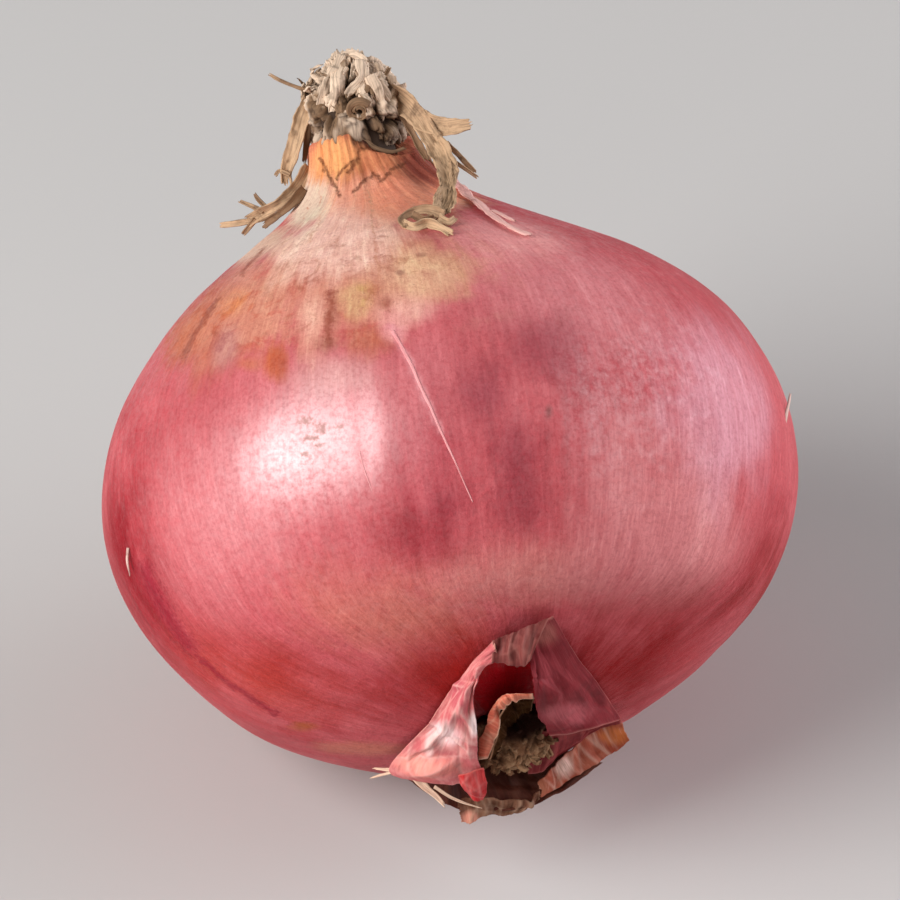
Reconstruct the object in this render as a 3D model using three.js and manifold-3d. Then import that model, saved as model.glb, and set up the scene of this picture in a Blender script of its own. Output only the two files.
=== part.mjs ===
// A shallot lying tipped over on a table: a squat bulb drawn out into a dried neck, a knotted tuft
// of dead leaf ends on that neck, a root plate with stubs of dried roots, and a collar of torn outer
// skin standing away from the bulb round the root plate.
//
// Millimetres. The bulb's own frame has its equator at z = 0, the neck towards +Z and the root
// towards -Z. The whole shallot is then leaned over, so that the neck points towards +Y and up, and
// set down on a small flat spot whose middle is the origin.
import * as THREE from "three";
import { mergeVertices } from "three/addons/utils/BufferGeometryUtils.js";
import Module from "manifold-3d";

const wasm = await Module();
wasm.setup();

// ---- Driving dimensions ----
const BULB_RADIUS = 27; // at the equator
const BULB_HALF_HEIGHT = 21.4; // equator to root pole, neck left out
const ROOT_FLAT_RADIUS = 5.6; // where the skin stops round the root plate
const NECK_RADIUS = 4.1;
const NECK_TOP = 26.6; // above the equator
const NECK_SHIFT = new THREE.Vector2(-4.2, -1.5); // how far the neck's tip is bent off the axis
const ROOT_AXIS = new THREE.Vector3(0.083, -0.21, -1).normalize(); // the root end is bent too
const LEAN = THREE.MathUtils.degToRad(51.4); // of the bulb's axis, from upright towards +Y
const FLAT_DEPTH = 1.3; // how much of the round belly the flat spot takes off
const GAP = 0.3; // kept between pieces that touch
const SKIN = 0.65; // thickness of a dry skin or leaf

const BULB_SIDES = 72;
const GOLDEN_ANGLE = 2.399963; // steps of it spread points evenly round a circle
const { smoothstep, lerp, degToRad } = THREE.MathUtils;

// A repeatable draw between low and high.
function drawFrom(seed) {
  let state = seed;
  return (low, high) => {
    state = (state * 1664525 + 1013904223) % 4294967296;
    return lerp(low, high, state / 4294967296);
  };
}

// ---- Solids ----
function bare(geometry) {
  const positions = new THREE.BufferGeometry();
  positions.setAttribute("position", geometry.getAttribute("position").clone());
  positions.setIndex(geometry.index);
  return mergeVertices(positions, 1e-4);
}

function solid(geometry) {
  const merged = bare(geometry);
  return new wasm.Manifold(
    new wasm.Mesh({
      numProp: 3,
      vertProperties: new Float32Array(merged.getAttribute("position").array),
      triVerts: new Uint32Array(merged.index.array),
    }),
  );
}

function geometryOf(manifold) {
  const mesh = manifold.getMesh();
  const geometry = new THREE.BufferGeometry();
  geometry.setAttribute("position", new THREE.BufferAttribute(mesh.vertProperties, 3));
  geometry.setIndex(new THREE.BufferAttribute(mesh.triVerts, 1));
  geometry.computeVertexNormals();
  return geometry;
}

function joined(geometries) {
  return geometries.map(solid).reduce((all, one) => all.add(one));
}

// The largest body of a solid: a loose scrap that a cut leaves is dropped.
function mainBody(manifold) {
  return manifold.decompose().reduce((a, b) => (a.volume() > b.volume() ? a : b));
}

// Every vertex moved by a function of its place.
function reshape(geometry, move) {
  const position = geometry.getAttribute("position");
  const p = new THREE.Vector3();
  for (let i = 0; i < position.count; i++) {
    p.fromBufferAttribute(position, i);
    move(p, i);
    position.setXYZ(i, p.x, p.y, p.z);
  }
  return geometry;
}

// The same shape with its surface moved outwards.
function grown(geometry, by) {
  const merged = bare(geometry);
  merged.computeVertexNormals();
  const normal = new THREE.Vector3();
  return reshape(merged, (p, i) => {
    normal.fromBufferAttribute(merged.getAttribute("normal"), i);
    p.addScaledVector(normal, by);
  });
}

// ---- Bent ends of the bulb ----
const rootTurn = new THREE.Quaternion().setFromUnitVectors(new THREE.Vector3(0, 0, -1), ROOT_AXIS);
const noTurn = new THREE.Quaternion();

// Bends a point of the straight bulb to where the real one has it.
function bend(p) {
  const rootShare = smoothstep(-p.z, 10, 20);
  p.applyQuaternion(noTurn.clone().slerp(rootTurn, rootShare));
  const neckShare = smoothstep(p.z, 10, 31);
  p.x += NECK_SHIFT.x * neckShare;
  p.y += NECK_SHIFT.y * neckShare;
}

// ---- Bulb: an ellipse in section, flaring up into a pleated neck ----
const SHOULDER_ANGLE = degToRad(48.4); // on the ellipse, where the flare to the neck starts

function bulbOutline() {
  const rootAngle = -Math.acos(ROOT_FLAT_RADIUS / BULB_RADIUS);
  const belly = new THREE.EllipseCurve(
    0, 0, BULB_RADIUS, BULB_HALF_HEIGHT, rootAngle, SHOULDER_ANGLE,
  ).getPoints(26);
  const flare = new THREE.CubicBezierCurve(
    belly[belly.length - 1],
    new THREE.Vector2(11.8, 20.3),
    new THREE.Vector2(4.8, 22),
    new THREE.Vector2(NECK_RADIUS, NECK_TOP),
  ).getPoints(11);
  const rootHollow = [new THREE.Vector2(0, -20.1), new THREE.Vector2(4.2, -20.3)];
  const rim = new THREE.Vector2(NECK_RADIUS - 0.9, NECK_TOP + 0.9);
  const top = new THREE.Vector2(0, NECK_TOP + 1.2);
  return [...rootHollow, ...belly, ...flare.slice(1), rim, top];
}

function bulbGeometry() {
  const lathe = new THREE.LatheGeometry(bulbOutline(), BULB_SIDES);
  lathe.rotateX(Math.PI / 2); // the lathe turns about +Y; the bulb stands along +Z
  return reshape(lathe, (p) => {
    const round = Math.atan2(p.y, p.x);
    const radius = Math.hypot(p.x, p.y);
    const lobes = 0.008 * Math.cos(2 * round + 0.6) + 0.006 * Math.cos(3 * round - 1.1);
    const pleated = smoothstep(p.z, 16, 24) * (1 - smoothstep(p.z, NECK_TOP, NECK_TOP + 1));
    const pleats = 0.34 * pleated * (Math.cos(9 * round + 0.5) + 0.5 * Math.cos(14 * round + 2));
    const share = radius > 1 ? 1 + lobes + pleats / radius : 1;
    p.x *= share;
    p.y *= share;
    bend(p);
  });
}

// ---- Pose: leaned over and set down on the flat spot ----
// Height of the leaned ellipse's middle over its lowest point, and how far beyond the middle that
// point lies.
const sine = Math.sin(LEAN);
const cosine = Math.cos(LEAN);
const middleHeight = Math.hypot(BULB_RADIUS * sine, BULB_HALF_HEIGHT * cosine);
const lowestOffset = ((BULB_RADIUS ** 2 - BULB_HALF_HEIGHT ** 2) * sine * cosine) / middleHeight;

const shallot = new THREE.Group();
shallot.rotation.x = -LEAN;
shallot.position.set(0, -lowestOffset, middleHeight - FLAT_DEPTH);
shallot.updateMatrixWorld(true);

const table = new THREE.BoxGeometry(200, 200, 100).translate(0, 0, -50);
table.applyMatrix4(shallot.matrixWorld.clone().invert());

const bulbShape = bulbGeometry();
const bulbSolid = solid(bulbShape).subtract(solid(table));
const roomForBulb = solid(grown(bulbShape, GAP));

// ---- Dry strands: a cylinder bent along a route, tapered, and flattened so that its broad side
// ---- looks the way it faces ----
const TO_FRONT = [0, -1, 0];
const TO_BACK = [0, 1, 0];

function strand(route, width, { facing = TO_FRONT, thickness = SKIN, taper = 0.5, steps = 8 } = {}) {
  const curve = new THREE.CatmullRomCurve3(route.map((p) => new THREE.Vector3(...p)));
  const front = new THREE.Vector3(...facing);
  return reshape(new THREE.CylinderGeometry(0.5, 0.5, 1, 5, steps), (p) => {
    const along = p.y + 0.5;
    const tangent = curve.getTangent(along);
    const across = tangent.clone().cross(front).normalize();
    const through = across.clone().cross(tangent);
    const sideways = p.x * width * (1 - (1 - taper) * along ** 1.5);
    const outwards = p.z * thickness;
    curve.getPoint(along, p);
    p.addScaledVector(across, sideways).addScaledVector(through, outwards);
  });
}

// ---- Neck tuft: a knot of folded dead leaves, strips hanging from it, and stray wisps ----
const KNOT = new THREE.Vector3(-4.2, -1.6, 30.5);
const KNOT_RADII = new THREE.Vector3(3.3, 3.1, 3.9);

function knot() {
  return reshape(new THREE.SphereGeometry(1, 36, 20).rotateX(Math.PI / 2), (p) => {
    const round = Math.atan2(p.y, p.x);
    const waist = Math.hypot(p.x, p.y);
    const folds = 0.12 * Math.cos(8 * round + 4 * p.z) + 0.07 * Math.cos(13 * round - 5 * p.z);
    const lumps = 0.07 * Math.sin(5 * p.z + 2 * round);
    p.multiplyScalar(1 + waist * (folds + lumps));
    p.x -= 0.15 * p.z; // the knot leans a little to one side
    p.multiply(KNOT_RADII).add(KNOT);
  });
}

// Routes of the strips, in the bulb's own frame.
const LEFT_STRIP = [
  [-5.6, -3, 32], [-7.2, -3.8, 31], [-8.4, -4.2, 29.2], [-9.3, -4.4, 26.8], [-10.1, -4.5, 24.6],
];
const LEFT_FORK = [
  [-8.8, -4.2, 27.8], [-9.8, -4.5, 25.2], [-11, -4.6, 23.6], [-13.3, -4.5, 22.7], [-15.6, -4.5, 22.5],
];
const LEFT_PRONG = [[-10.8, -4.6, 24], [-12.2, -4.7, 22.5], [-13.8, -4.8, 21.3]];
const LEFT_FIBRE = [[-5.6, -2.4, 31.8], [-7.2, -2.4, 32.4], [-9, -2.4, 33], [-10.8, -2.4, 33.4]];
const LONG_STRIP = [
  [-4.4, -3.6, 32], [-2.7, -4.6, 31.3], [-1.2, -5.8, 29.9], [0.2, -7.2, 28], [1.2, -8.3, 26],
  [1.7, -9, 24.1], [1.4, -10.6, 22], [0.8, -12.9, 20.4], [0, -15.4, 18.6],
];
const LONG_STRIP_FOOT = [[0.5, -14.9, 18.9], [-0.8, -16.2, 18.1], [-2.8, -17.3, 17.4]];
const LONG_STRIP_HEEL = [[-0.3, -14.8, 18.9], [0.5, -16.6, 17.8], [0.9, -18.1, 16.7]];
const RIGHT_PRONG = [[-0.2, -7, 28.3], [1.2, -8.4, 27.2], [2.6, -9.1, 26.4], [4.1, -9.6, 26.5]];
const RIGHT_WISP = [
  [-3.2, -2.8, 30.6], [-1.2, -4.6, 29.4], [0.8, -5.6, 27.6], [2.2, -6.3, 25.8], [3.1, -6.4, 24.6],
  [3.9, -6.2, 23.3],
];
const SHOULDER_STRIP = [
  [-3, -3, 30], [-1.2, -4.4, 28.6], [0.6, -5.6, 26.6], [2.2, -7, 24.2], [3.2, -8.9, 22.2],
  [4, -12, 20.3], [5.3, -16, 18], [6.7, -18.4, 15.9],
];
const TOP_TIP = [[-3, -1.6, 32], [-2, -1.6, 33.2], [-1.3, -1.6, 34.4]];
const BACK_STRIP = [[-5, 0.4, 32], [-5.8, 2.4, 31], [-6.2, 3.9, 28.6], [-6.8, 4.7, 26], [-8.2, 5.6, 24]];
const BACK_FORK = [[-2.6, 0.4, 32], [-1, 2.2, 31], [0.6, 3.4, 28.8], [1.7, 3.8, 26.8], [3, 4.9, 25]];

const STRIPS = [
  strand(LEFT_STRIP, 1.9),
  strand(LEFT_FORK, 2.3, { taper: 0.3 }),
  strand(LEFT_PRONG, 1.3),
  strand(LEFT_FIBRE, 0.9),
  strand(LONG_STRIP, 2.4, { taper: 0.9, steps: 16 }),
  strand(LONG_STRIP_FOOT, 1.7),
  strand(LONG_STRIP_HEEL, 1.4),
  strand(RIGHT_PRONG, 1.9, { taper: 0.8 }),
  strand(RIGHT_WISP, 1.3),
  strand(SHOULDER_STRIP, 1.6, { taper: 0.3, steps: 12 }),
  strand(TOP_TIP, 1),
  strand(BACK_STRIP, 1.8, { facing: TO_BACK }),
  strand(BACK_FORK, 1.6, { facing: TO_BACK }),
];

const WISPS = 22;

// Short leaf ends that stand out of the knot all round, the lower ones drooping over the neck.
function wisps() {
  const draw = drawFrom(7);
  return Array.from({ length: WISPS }, (_, i) => {
    const round = i * GOLDEN_ANGLE;
    const height = lerp(-0.75, 0.85, (i + 0.5) / WISPS) + draw(-0.1, 0.1);
    const waist = Math.sqrt(1 - height * height);
    const outwards = new THREE.Vector3(waist * Math.cos(round), waist * Math.sin(round), height);
    const facing = [-outwards.y, outwards.x, 0.4];
    const reach = draw(2.9, 3.9);
    const droop = height < 0 ? draw(1.8, 3) : draw(-0.6, 0.6);
    const start = outwards.clone().multiplyScalar(1.6).add(KNOT);
    const middle = outwards.clone().multiplyScalar(reach).add(KNOT);
    const turned = outwards.clone().applyAxisAngle(new THREE.Vector3(0, 0, 1), draw(-0.4, 0.4));
    const end = turned.multiplyScalar(reach * 1.25).add(KNOT);
    end.z -= droop;
    const route = [start, middle, end].map((p) => p.toArray());
    return strand(route, draw(0.9, 1.6), { facing, steps: 4 });
  });
}

function neckTuft() {
  return mainBody(joined([knot(), ...STRIPS, ...wisps()]).subtract(roomForBulb));
}

// ---- Root end. Its pieces are modelled about a straight axis and then turned with the root ----
function toRootEnd(geometry) {
  return geometry.applyQuaternion(rootTurn);
}

// ---- Root plate: a domed, cracked disc with stubs of dried roots ----
const PLATE_RADIUS = 4.2;
const PLATE_TOP = -23.6;
const PLATE_DOME = 0.13; // how fast the dome falls away, per millimetre squared
const ROOT_STUBS = 24;

function domeHeight(radius) {
  return PLATE_TOP + PLATE_DOME * radius ** 2;
}

function plateDisc() {
  const dome = Array.from({ length: 6 }, (_, i) => [(3.8 * i) / 5, domeHeight((3.8 * i) / 5)]);
  const foot = [[PLATE_RADIUS, -21.2], [3.7, -20.7], [0, -20.4]];
  const outline = [...dome, ...foot].map(([radius, z]) => new THREE.Vector2(radius, z));
  return reshape(new THREE.LatheGeometry(outline, 32).rotateX(Math.PI / 2), (p) => {
    const round = Math.atan2(p.y, p.x);
    const cracks = Math.cos(7 * round) + Math.cos(4 * round + 1);
    if (p.z < -21.5) p.z += 0.05 * Math.hypot(p.x, p.y) * cracks;
  });
}

function rootStubs() {
  const draw = drawFrom(11);
  return Array.from({ length: ROOT_STUBS }, (_, i) => {
    const round = i * GOLDEN_ANGLE;
    const radius = 3.4 * Math.sqrt((i + 0.5) / ROOT_STUBS);
    const at = (r, z) => [r * Math.cos(round), r * Math.sin(round), z];
    const surface = domeHeight(radius);
    const tip = surface - draw(0.5, 1.3);
    const route = [at(radius * 0.9, surface + 0.8), at(radius, surface - 0.1), at(radius + 0.4, tip)];
    return strand(route, draw(0.8, 1.2), { facing: at(1, 0), thickness: 0.8, steps: 4 });
  });
}

function rootPlate() {
  const pieces = [plateDisc(), ...rootStubs()].map(toRootEnd);
  return mainBody(joined(pieces).subtract(roomForBulb));
}

// ---- Torn skin: rings of dry skin round the root plate, ragged and standing away from the bulb ----
const SKIN_FOOT_RADIUS = 5.2; // where the torn skin grows from the bulb
const SKIN_FOOT_Z = -21.3;

// The torn edge of the outer ring, corner by corner.
const OUTER_EDGE = [
  [9.6, 0.4, -22.1], [8, -4.3, -21.5], [6.4, -8.9, -20.9], [4.9, -13.2, -20], [3.2, -17.2, -18.8],
  [0.9, -16.8, -19.2], [-1.6, -15.2, -19.8], [-3.2, -13.4, -20.3], [-5, -10, -20.9],
  [-7.2, -5.4, -21.3], [-8.9, -1, -21.4], [-10, 2.6, -21.2], [-7.6, 3.4, -22.4], [-6.2, 4.1, -24.2],
  [-4.6, 5.1, -25.4], [-3.4, 4.9, -26.3], [-1, 5.4, -25.9], [1.4, 5.2, -25.8], [3.4, 5, -25.2],
  [5.4, 4.4, -24.7], [7.6, 3.4, -23.9], [9.9, 2.2, -22.9],
];
// The edge of a second, smaller ring inside it.
const INNER_EDGE = [
  [5.2, -2, -22.6], [4.2, -6.2, -22.3], [1.8, -9, -21.7], [-0.2, -10, -21.5], [-2, -9.4, -21.6],
  [-3.4, -6.2, -22.3], [-4.8, -2, -22.9], [-4.9, 2, -23], [-2, 4.8, -23], [2.4, 4.9, -23],
  [5, 1.6, -22.8],
];

// A ring of skin between its foot on the bulb and a torn outer edge: swollen away from the bulb,
// creased, and ragged where it is torn.
function tornRing(edge, { across, rows, swell, crease, ragged }) {
  const draw = drawFrom(across);
  const corners = edge.map((p) => new THREE.Vector3(...p));
  const outline = new THREE.CatmullRomCurve3(corners, true, "catmullrom", 0.25);
  const spokes = outline.getSpacedPoints(across).slice(0, across).map((end) => {
    const round = Math.atan2(end.y, end.x);
    const outwards = new THREE.Vector3(Math.cos(round), Math.sin(round), 0);
    const foot = outwards.clone().multiplyScalar(SKIN_FOOT_RADIUS).setZ(SKIN_FOOT_Z);
    const run = end.clone().sub(foot).multiplyScalar(1 + draw(-ragged, ragged));
    const sideways = new THREE.Vector3(0, 0, 1).cross(outwards);
    const away = sideways.cross(run).normalize();
    return { round, foot, run, away };
  });
  const place = (i, share) => {
    const { round, foot, run, away } = spokes[i % across];
    const bulge = swell * Math.sin(Math.PI * share) * Math.min(1, run.length() / 8);
    const creases = crease * share * Math.cos(7 * round + 3 * share);
    return foot.clone().addScaledVector(run, share).addScaledVector(away, bulge + creases);
  };
  const upper = [];
  const lower = [];
  for (let i = 0; i < across; i++) {
    for (let j = 0; j <= rows; j++) {
      const along = place(i, (j + 0.5) / rows).sub(place(i, (j - 0.5) / rows));
      const round = place(i + 1, j / rows).sub(place(i + across - 1, j / rows));
      const normal = along.cross(round).normalize();
      upper.push(place(i, j / rows).addScaledVector(normal, SKIN / 2));
      lower.push(place(i, j / rows).addScaledVector(normal, -SKIN / 2));
    }
  }
  // The lower face has the same triangles as the upper one, turned over.
  const under = upper.length;
  const faces = [];
  const quad = (a, b, c, d) => faces.push(a, b, c, a, c, d);
  for (let i = 0; i < across; i++) {
    const here = i * (rows + 1);
    const next = ((i + 1) % across) * (rows + 1);
    for (let j = 0; j < rows; j++) {
      const [a, b, c, d] = [here + j, here + j + 1, next + j + 1, next + j];
      quad(a, b, c, d);
      faces.push(a + under, c + under, b + under, a + under, d + under, c + under);
    }
    quad(next, next + under, here + under, here);
    quad(here + rows, here + rows + under, next + rows + under, next + rows);
  }
  return new THREE.BufferGeometry().setFromPoints([...upper, ...lower]).setIndex(faces);
}

// The rip in the outer ring, through which the bulb shows: its corners seen along the root axis.
const RIP = [
  [-4.4, -4.4], [-3.8, -8], [-3.6, -11.2], [-2.7, -12.5], [-0.8, -12.4], [1, -11.2], [1.7, -8.4],
  [2.4, -4.4],
];

function rip() {
  const outline = new THREE.Shape(RIP.map(([x, y]) => new THREE.Vector2(x, y)));
  return new THREE.ExtrudeGeometry(outline, { depth: 12, bevelEnabled: false }).translate(0, 0, -28);
}

function tornSkin() {
  const outer = tornRing(OUTER_EDGE, { across: 76, rows: 7, swell: 1.2, crease: 0.25, ragged: 0.03 });
  const inner = tornRing(INNER_EDGE, { across: 48, rows: 4, swell: 0.4, crease: 0.1, ragged: 0.05 });
  const ripped = solid(toRootEnd(outer)).subtract(solid(toRootEnd(rip())));
  return mainBody(ripped.add(solid(toRootEnd(inner))).subtract(roomForBulb));
}

// ---- The shallot ----
function material(colour, roughness) {
  return new THREE.MeshStandardMaterial({ color: colour, roughness, metalness: 0 });
}

const PIECES = [
  { name: "bulb", shape: bulbSolid, look: material("#bd5561", 0.35) },
  { name: "neck_tuft", shape: neckTuft(), look: material("#b39a78", 0.9) },
  { name: "root_plate", shape: rootPlate(), look: material("#6b5138", 0.95) },
  { name: "torn_skin", shape: tornSkin(), look: material("#a84a4f", 0.6) },
];

for (const { name, shape, look } of PIECES) {
  const mesh = new THREE.Mesh(geometryOf(shape), look);
  mesh.name = name;
  shallot.add(mesh);
}

export default shallot;
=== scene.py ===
"""A shallot lying tipped over: bulb skin, knotted neck tuft, root plate and a collar of torn skin."""
import math
import random

import bpy
import numpy as np
from mathutils import Matrix, Vector, noise
from mathutils.bvhtree import BVHTree


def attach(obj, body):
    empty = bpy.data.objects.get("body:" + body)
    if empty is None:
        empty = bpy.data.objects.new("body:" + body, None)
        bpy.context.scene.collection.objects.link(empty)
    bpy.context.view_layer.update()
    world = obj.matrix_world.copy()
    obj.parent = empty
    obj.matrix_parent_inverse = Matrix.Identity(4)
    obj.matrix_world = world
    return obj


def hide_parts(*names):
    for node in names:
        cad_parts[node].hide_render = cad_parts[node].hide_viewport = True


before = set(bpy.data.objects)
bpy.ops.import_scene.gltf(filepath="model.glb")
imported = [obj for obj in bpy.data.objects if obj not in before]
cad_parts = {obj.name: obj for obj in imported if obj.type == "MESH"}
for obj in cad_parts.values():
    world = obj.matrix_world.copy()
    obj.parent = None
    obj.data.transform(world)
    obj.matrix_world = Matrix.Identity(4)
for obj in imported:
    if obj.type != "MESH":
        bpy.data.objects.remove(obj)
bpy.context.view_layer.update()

MM = 0.001

# ---- The bulb's measures, in millimetres and degrees, as in the part's solids ----
BULB_RADIUS = 27.0
BULB_HALF_HEIGHT = 21.4
ROOT_FLAT_RADIUS = 5.6
SHOULDER = math.radians(48.4)
NECK_RADIUS = 4.1
NECK_TOP = 27.5
NECK_SHIFT = np.array([-4.2, -1.5])
ROOT_AXIS = np.array([0.083, -0.21, -1.0])
LEAN = math.radians(51.4)
FLAT_DEPTH = 1.3
# Heights between which the root end and the neck bend away from the straight.
ROOT_BEND = 10, 20
NECK_BEND = 10, 31
# How far round the next leaf or root is set, in radians, so that they spread evenly.
GOLDEN_ANGLE = 2.399963

# ---- The side of the shallot that is worked from: where it looks and what is up on it ----
FRONT_TURN = math.radians(-8.8)
FRONT_RISE = math.radians(40.0)
NEAR = np.array([
    math.sin(FRONT_TURN) * math.cos(FRONT_RISE),
    -math.cos(FRONT_TURN) * math.cos(FRONT_RISE),
    math.sin(FRONT_RISE),
])
RIGHT = np.array([math.cos(FRONT_TURN), math.sin(FRONT_TURN), 0.0])
UP = np.cross(RIGHT, -NEAR)

lean_sine, lean_cosine = math.sin(LEAN), math.cos(LEAN)
middle_height = math.hypot(BULB_RADIUS * lean_sine, BULB_HALF_HEIGHT * lean_cosine)
lowest_offset = (BULB_RADIUS**2 - BULB_HALF_HEIGHT**2) * lean_sine * lean_cosine / middle_height
BULB_CENTRE = np.array([0.0, -lowest_offset, middle_height - FLAT_DEPTH])


def turn_about(points, axis, angles):
    """Points turned about an axis through the origin, each by its own angle."""
    axis = axis / np.linalg.norm(axis)
    cosine = np.cos(angles)[..., None]
    sine = np.sin(angles)[..., None]
    along = (points @ axis)[..., None] * axis
    return points * cosine + np.cross(axis, points) * sine + along * (1 - cosine)


def ease(value, start, end):
    """0 up to start, 1 from end on, and a smooth rise between."""
    share = np.clip((value - start) / (end - start), 0, 1)
    return share * share * (3 - 2 * share)


ROOT_TURN_AXIS = np.cross([0.0, 0.0, -1.0], ROOT_AXIS)
ROOT_TURN = math.acos(1 / np.linalg.norm(ROOT_AXIS))


def bent(points):
    """The straight bulb's points where the real one has them."""
    share = ease(-points[..., 2], *ROOT_BEND)
    turned = turn_about(points, ROOT_TURN_AXIS, share * ROOT_TURN)
    neck = ease(turned[..., 2], *NECK_BEND)[..., None]
    return turned + neck * np.append(NECK_SHIFT, 0)


def bulb_to_world(points):
    """From the bulb's own frame, in millimetres, to the table's, in metres."""
    x, y, z = np.moveaxis(np.asarray(points, float), -1, 0)
    leaned = np.stack([x, y * lean_cosine + z * lean_sine, z * lean_cosine - y * lean_sine], -1)
    return (leaned + BULB_CENTRE) * MM


def root_to_world(points):
    """From the root end's own frame, turned with its bend, to the table's."""
    points = np.asarray(points, float)
    return bulb_to_world(turn_about(points, ROOT_TURN_AXIS, np.full(points.shape[:-1], ROOT_TURN)))


def front_to_world(points):
    """From millimetres right, up and near on the worked side to the table's frame in metres."""
    return (np.asarray(points, float) @ np.array([RIGHT, UP, NEAR]) + BULB_CENTRE) * MM


def world_to_front(points):
    return (np.asarray(points) / MM - BULB_CENTRE) @ np.array([RIGHT, UP, NEAR]).T


def wobble(points, size, octaves=3, seed=0.0):
    """Smooth noise about 0 at each point: size is the width of its lumps, in the points' unit."""
    flat = np.asarray(points, float).reshape(-1, 3) / size + seed
    values = [noise.fractal(Vector(p), 1.0, 2.0, octaves) for p in flat]
    return np.array(values).reshape(np.shape(points)[:-1])


# ---- Materials ----
class Wire:
    """A shader socket. A sum written with it adds its Math nodes."""

    def __init__(self, finish, socket):
        self.finish, self.socket = finish, socket

    def maths(self, operation, first, second):
        return self.finish.node("Math", {"operation": operation}, {0: first, 1: second})

    def __add__(self, other):
        return self.maths("ADD", self, other)

    def __sub__(self, other):
        return self.maths("SUBTRACT", self, other)

    def __rsub__(self, other):
        return self.maths("SUBTRACT", other, self)

    def __mul__(self, other):
        return self.maths("MULTIPLY", self, other)

    __radd__ = __add__
    __rmul__ = __mul__


class Finish:
    """A material in the making."""

    def __init__(self, name):
        self.material = bpy.data.materials.new(name)
        self.material.use_nodes = True
        self.tree = self.material.node_tree
        self.tree.nodes.clear()

    def node(self, kind, settings=None, sockets=None, take=0):
        made = self.tree.nodes.new("ShaderNode" + kind)
        for name, value in (settings or {}).items():
            setattr(made, name, value)
        for name, value in (sockets or {}).items():
            if isinstance(value, Wire):
                self.tree.links.new(value.socket, made.inputs[name])
            else:
                made.inputs[name].default_value = value
        return Wire(self, made.outputs[take])

    def mark(self, name, take="Vector"):
        return self.node("Attribute", {"attribute_name": name}, take=take)

    def vector(self, operation, *values, take=0):
        sockets = {i: value for i, value in enumerate(values)}
        return self.node("VectorMath", {"operation": operation}, sockets, take)

    def blend(self, share, under, over, how="MIX"):
        settings = {"data_type": "RGBA", "blend_type": how, "clamp_factor": True}
        return self.node("Mix", settings, {0: share, 6: under, 7: over}, take=2)

    def noise(self, at, scale, detail=3.0, roughness=0.5, warp=0.0):
        sockets = {
            "Vector": at, "Scale": scale, "Detail": detail, "Roughness": roughness, "Distortion": warp,
        }
        return self.node("TexNoise", {}, sockets)

    def strayed(self, place, scale, reach):
        """The place moved about by up to half its reach, so that straight lines wander."""
        stray = self.node("TexNoise", {}, {"Vector": place, "Scale": scale, "Detail": 3.0}, take=1)
        moved = self.vector("MULTIPLY_ADD", stray, (reach, reach, reach), place)
        return self.vector("SUBTRACT", moved, (reach / 2, reach / 2, reach / 2))

    def ease(self, value, start, end, low=0.0, high=1.0):
        sockets = {0: value, 1: start, 2: end, 3: low, 4: high}
        return self.node("MapRange", {"interpolation_type": "SMOOTHSTEP"}, sockets)

    def wash(self, colour, pattern, start, end, share, tint, how="MIX"):
        """Colour with a share of the tint laid over it as the pattern goes from start to end."""
        return self.blend(self.ease(pattern, start, end) * share, colour, tint, how)

    def spot(self, place, centre, reach, core, feather):
        """1 within core of an ellipsoid, fading to 0 at its reach; feather makes its edge uneven."""
        offset = self.vector("SUBTRACT", place, centre)
        scaled = self.vector("MULTIPLY", offset, tuple(1 / r for r in reach))
        distance = self.vector("LENGTH", scaled, take="Value") + feather
        return self.ease(distance, core, 1.0, 1.0, 0.0)

    def seam(self, place, route, reach, feather):
        """1 along a line through the route's points, fading to 0 at its reach.

        Depth counts a quarter, so that the line stays on the skin wherever it bulges.
        """
        flat = (1.0, 1.0, 0.25)
        flat_place = self.vector("MULTIPLY", place, flat)
        nearest = None
        for start, end in zip(np.multiply(route[:-1], flat), np.multiply(route[1:], flat)):
            step = end - start
            offset = self.vector("SUBTRACT", flat_place, tuple(start))
            along = self.vector("DOT_PRODUCT", offset, tuple(step / (step @ step)), take="Value")
            along = self.node("Clamp", {}, {"Value": along})
            foot = self.node("VectorMath", {"operation": "SCALE"}, {0: tuple(step), 3: along})
            distance = self.vector("DISTANCE", offset, foot, take="Value")
            nearest = distance if nearest is None else nearest.maths("MINIMUM", nearest, distance)
        return self.ease(nearest + feather, 0.0, reach, 1.0, 0.0)

    def stain(self, colour, place, spots, feather):
        """Colour with each spot (centre, reach, core, tint, share) laid over it."""
        for centre, reach, core, tint, share in spots:
            colour = self.blend(self.spot(place, centre, reach, core, feather) * share, colour, tint)
        return colour

    def bump(self, height, distance, strength, over=None):
        sockets = {"Height": height, "Distance": distance, "Strength": strength}
        if over is not None:
            sockets["Normal"] = over
        return self.node("Bump", {}, sockets)

    def shade(self, colour, roughness, normal, coat=0.0, **constants):
        shader = self.tree.nodes.new("ShaderNodeBsdfPrincipled")
        surface = {"Base Color": colour, "Roughness": roughness, "Normal": normal, "Coat Weight": coat}
        for name, value in surface.items():
            if isinstance(value, Wire):
                self.tree.links.new(value.socket, shader.inputs[name])
            else:
                shader.inputs[name].default_value = value
        for name, value in constants.items():
            shader.inputs[name.replace("_", " ")].default_value = value
        output = self.tree.nodes.new("ShaderNodeOutputMaterial")
        self.tree.links.new(shader.outputs[0], output.inputs["Surface"])
        return self.material


def rgb(red, green, blue):
    return (red, green, blue, 1.0)


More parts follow.
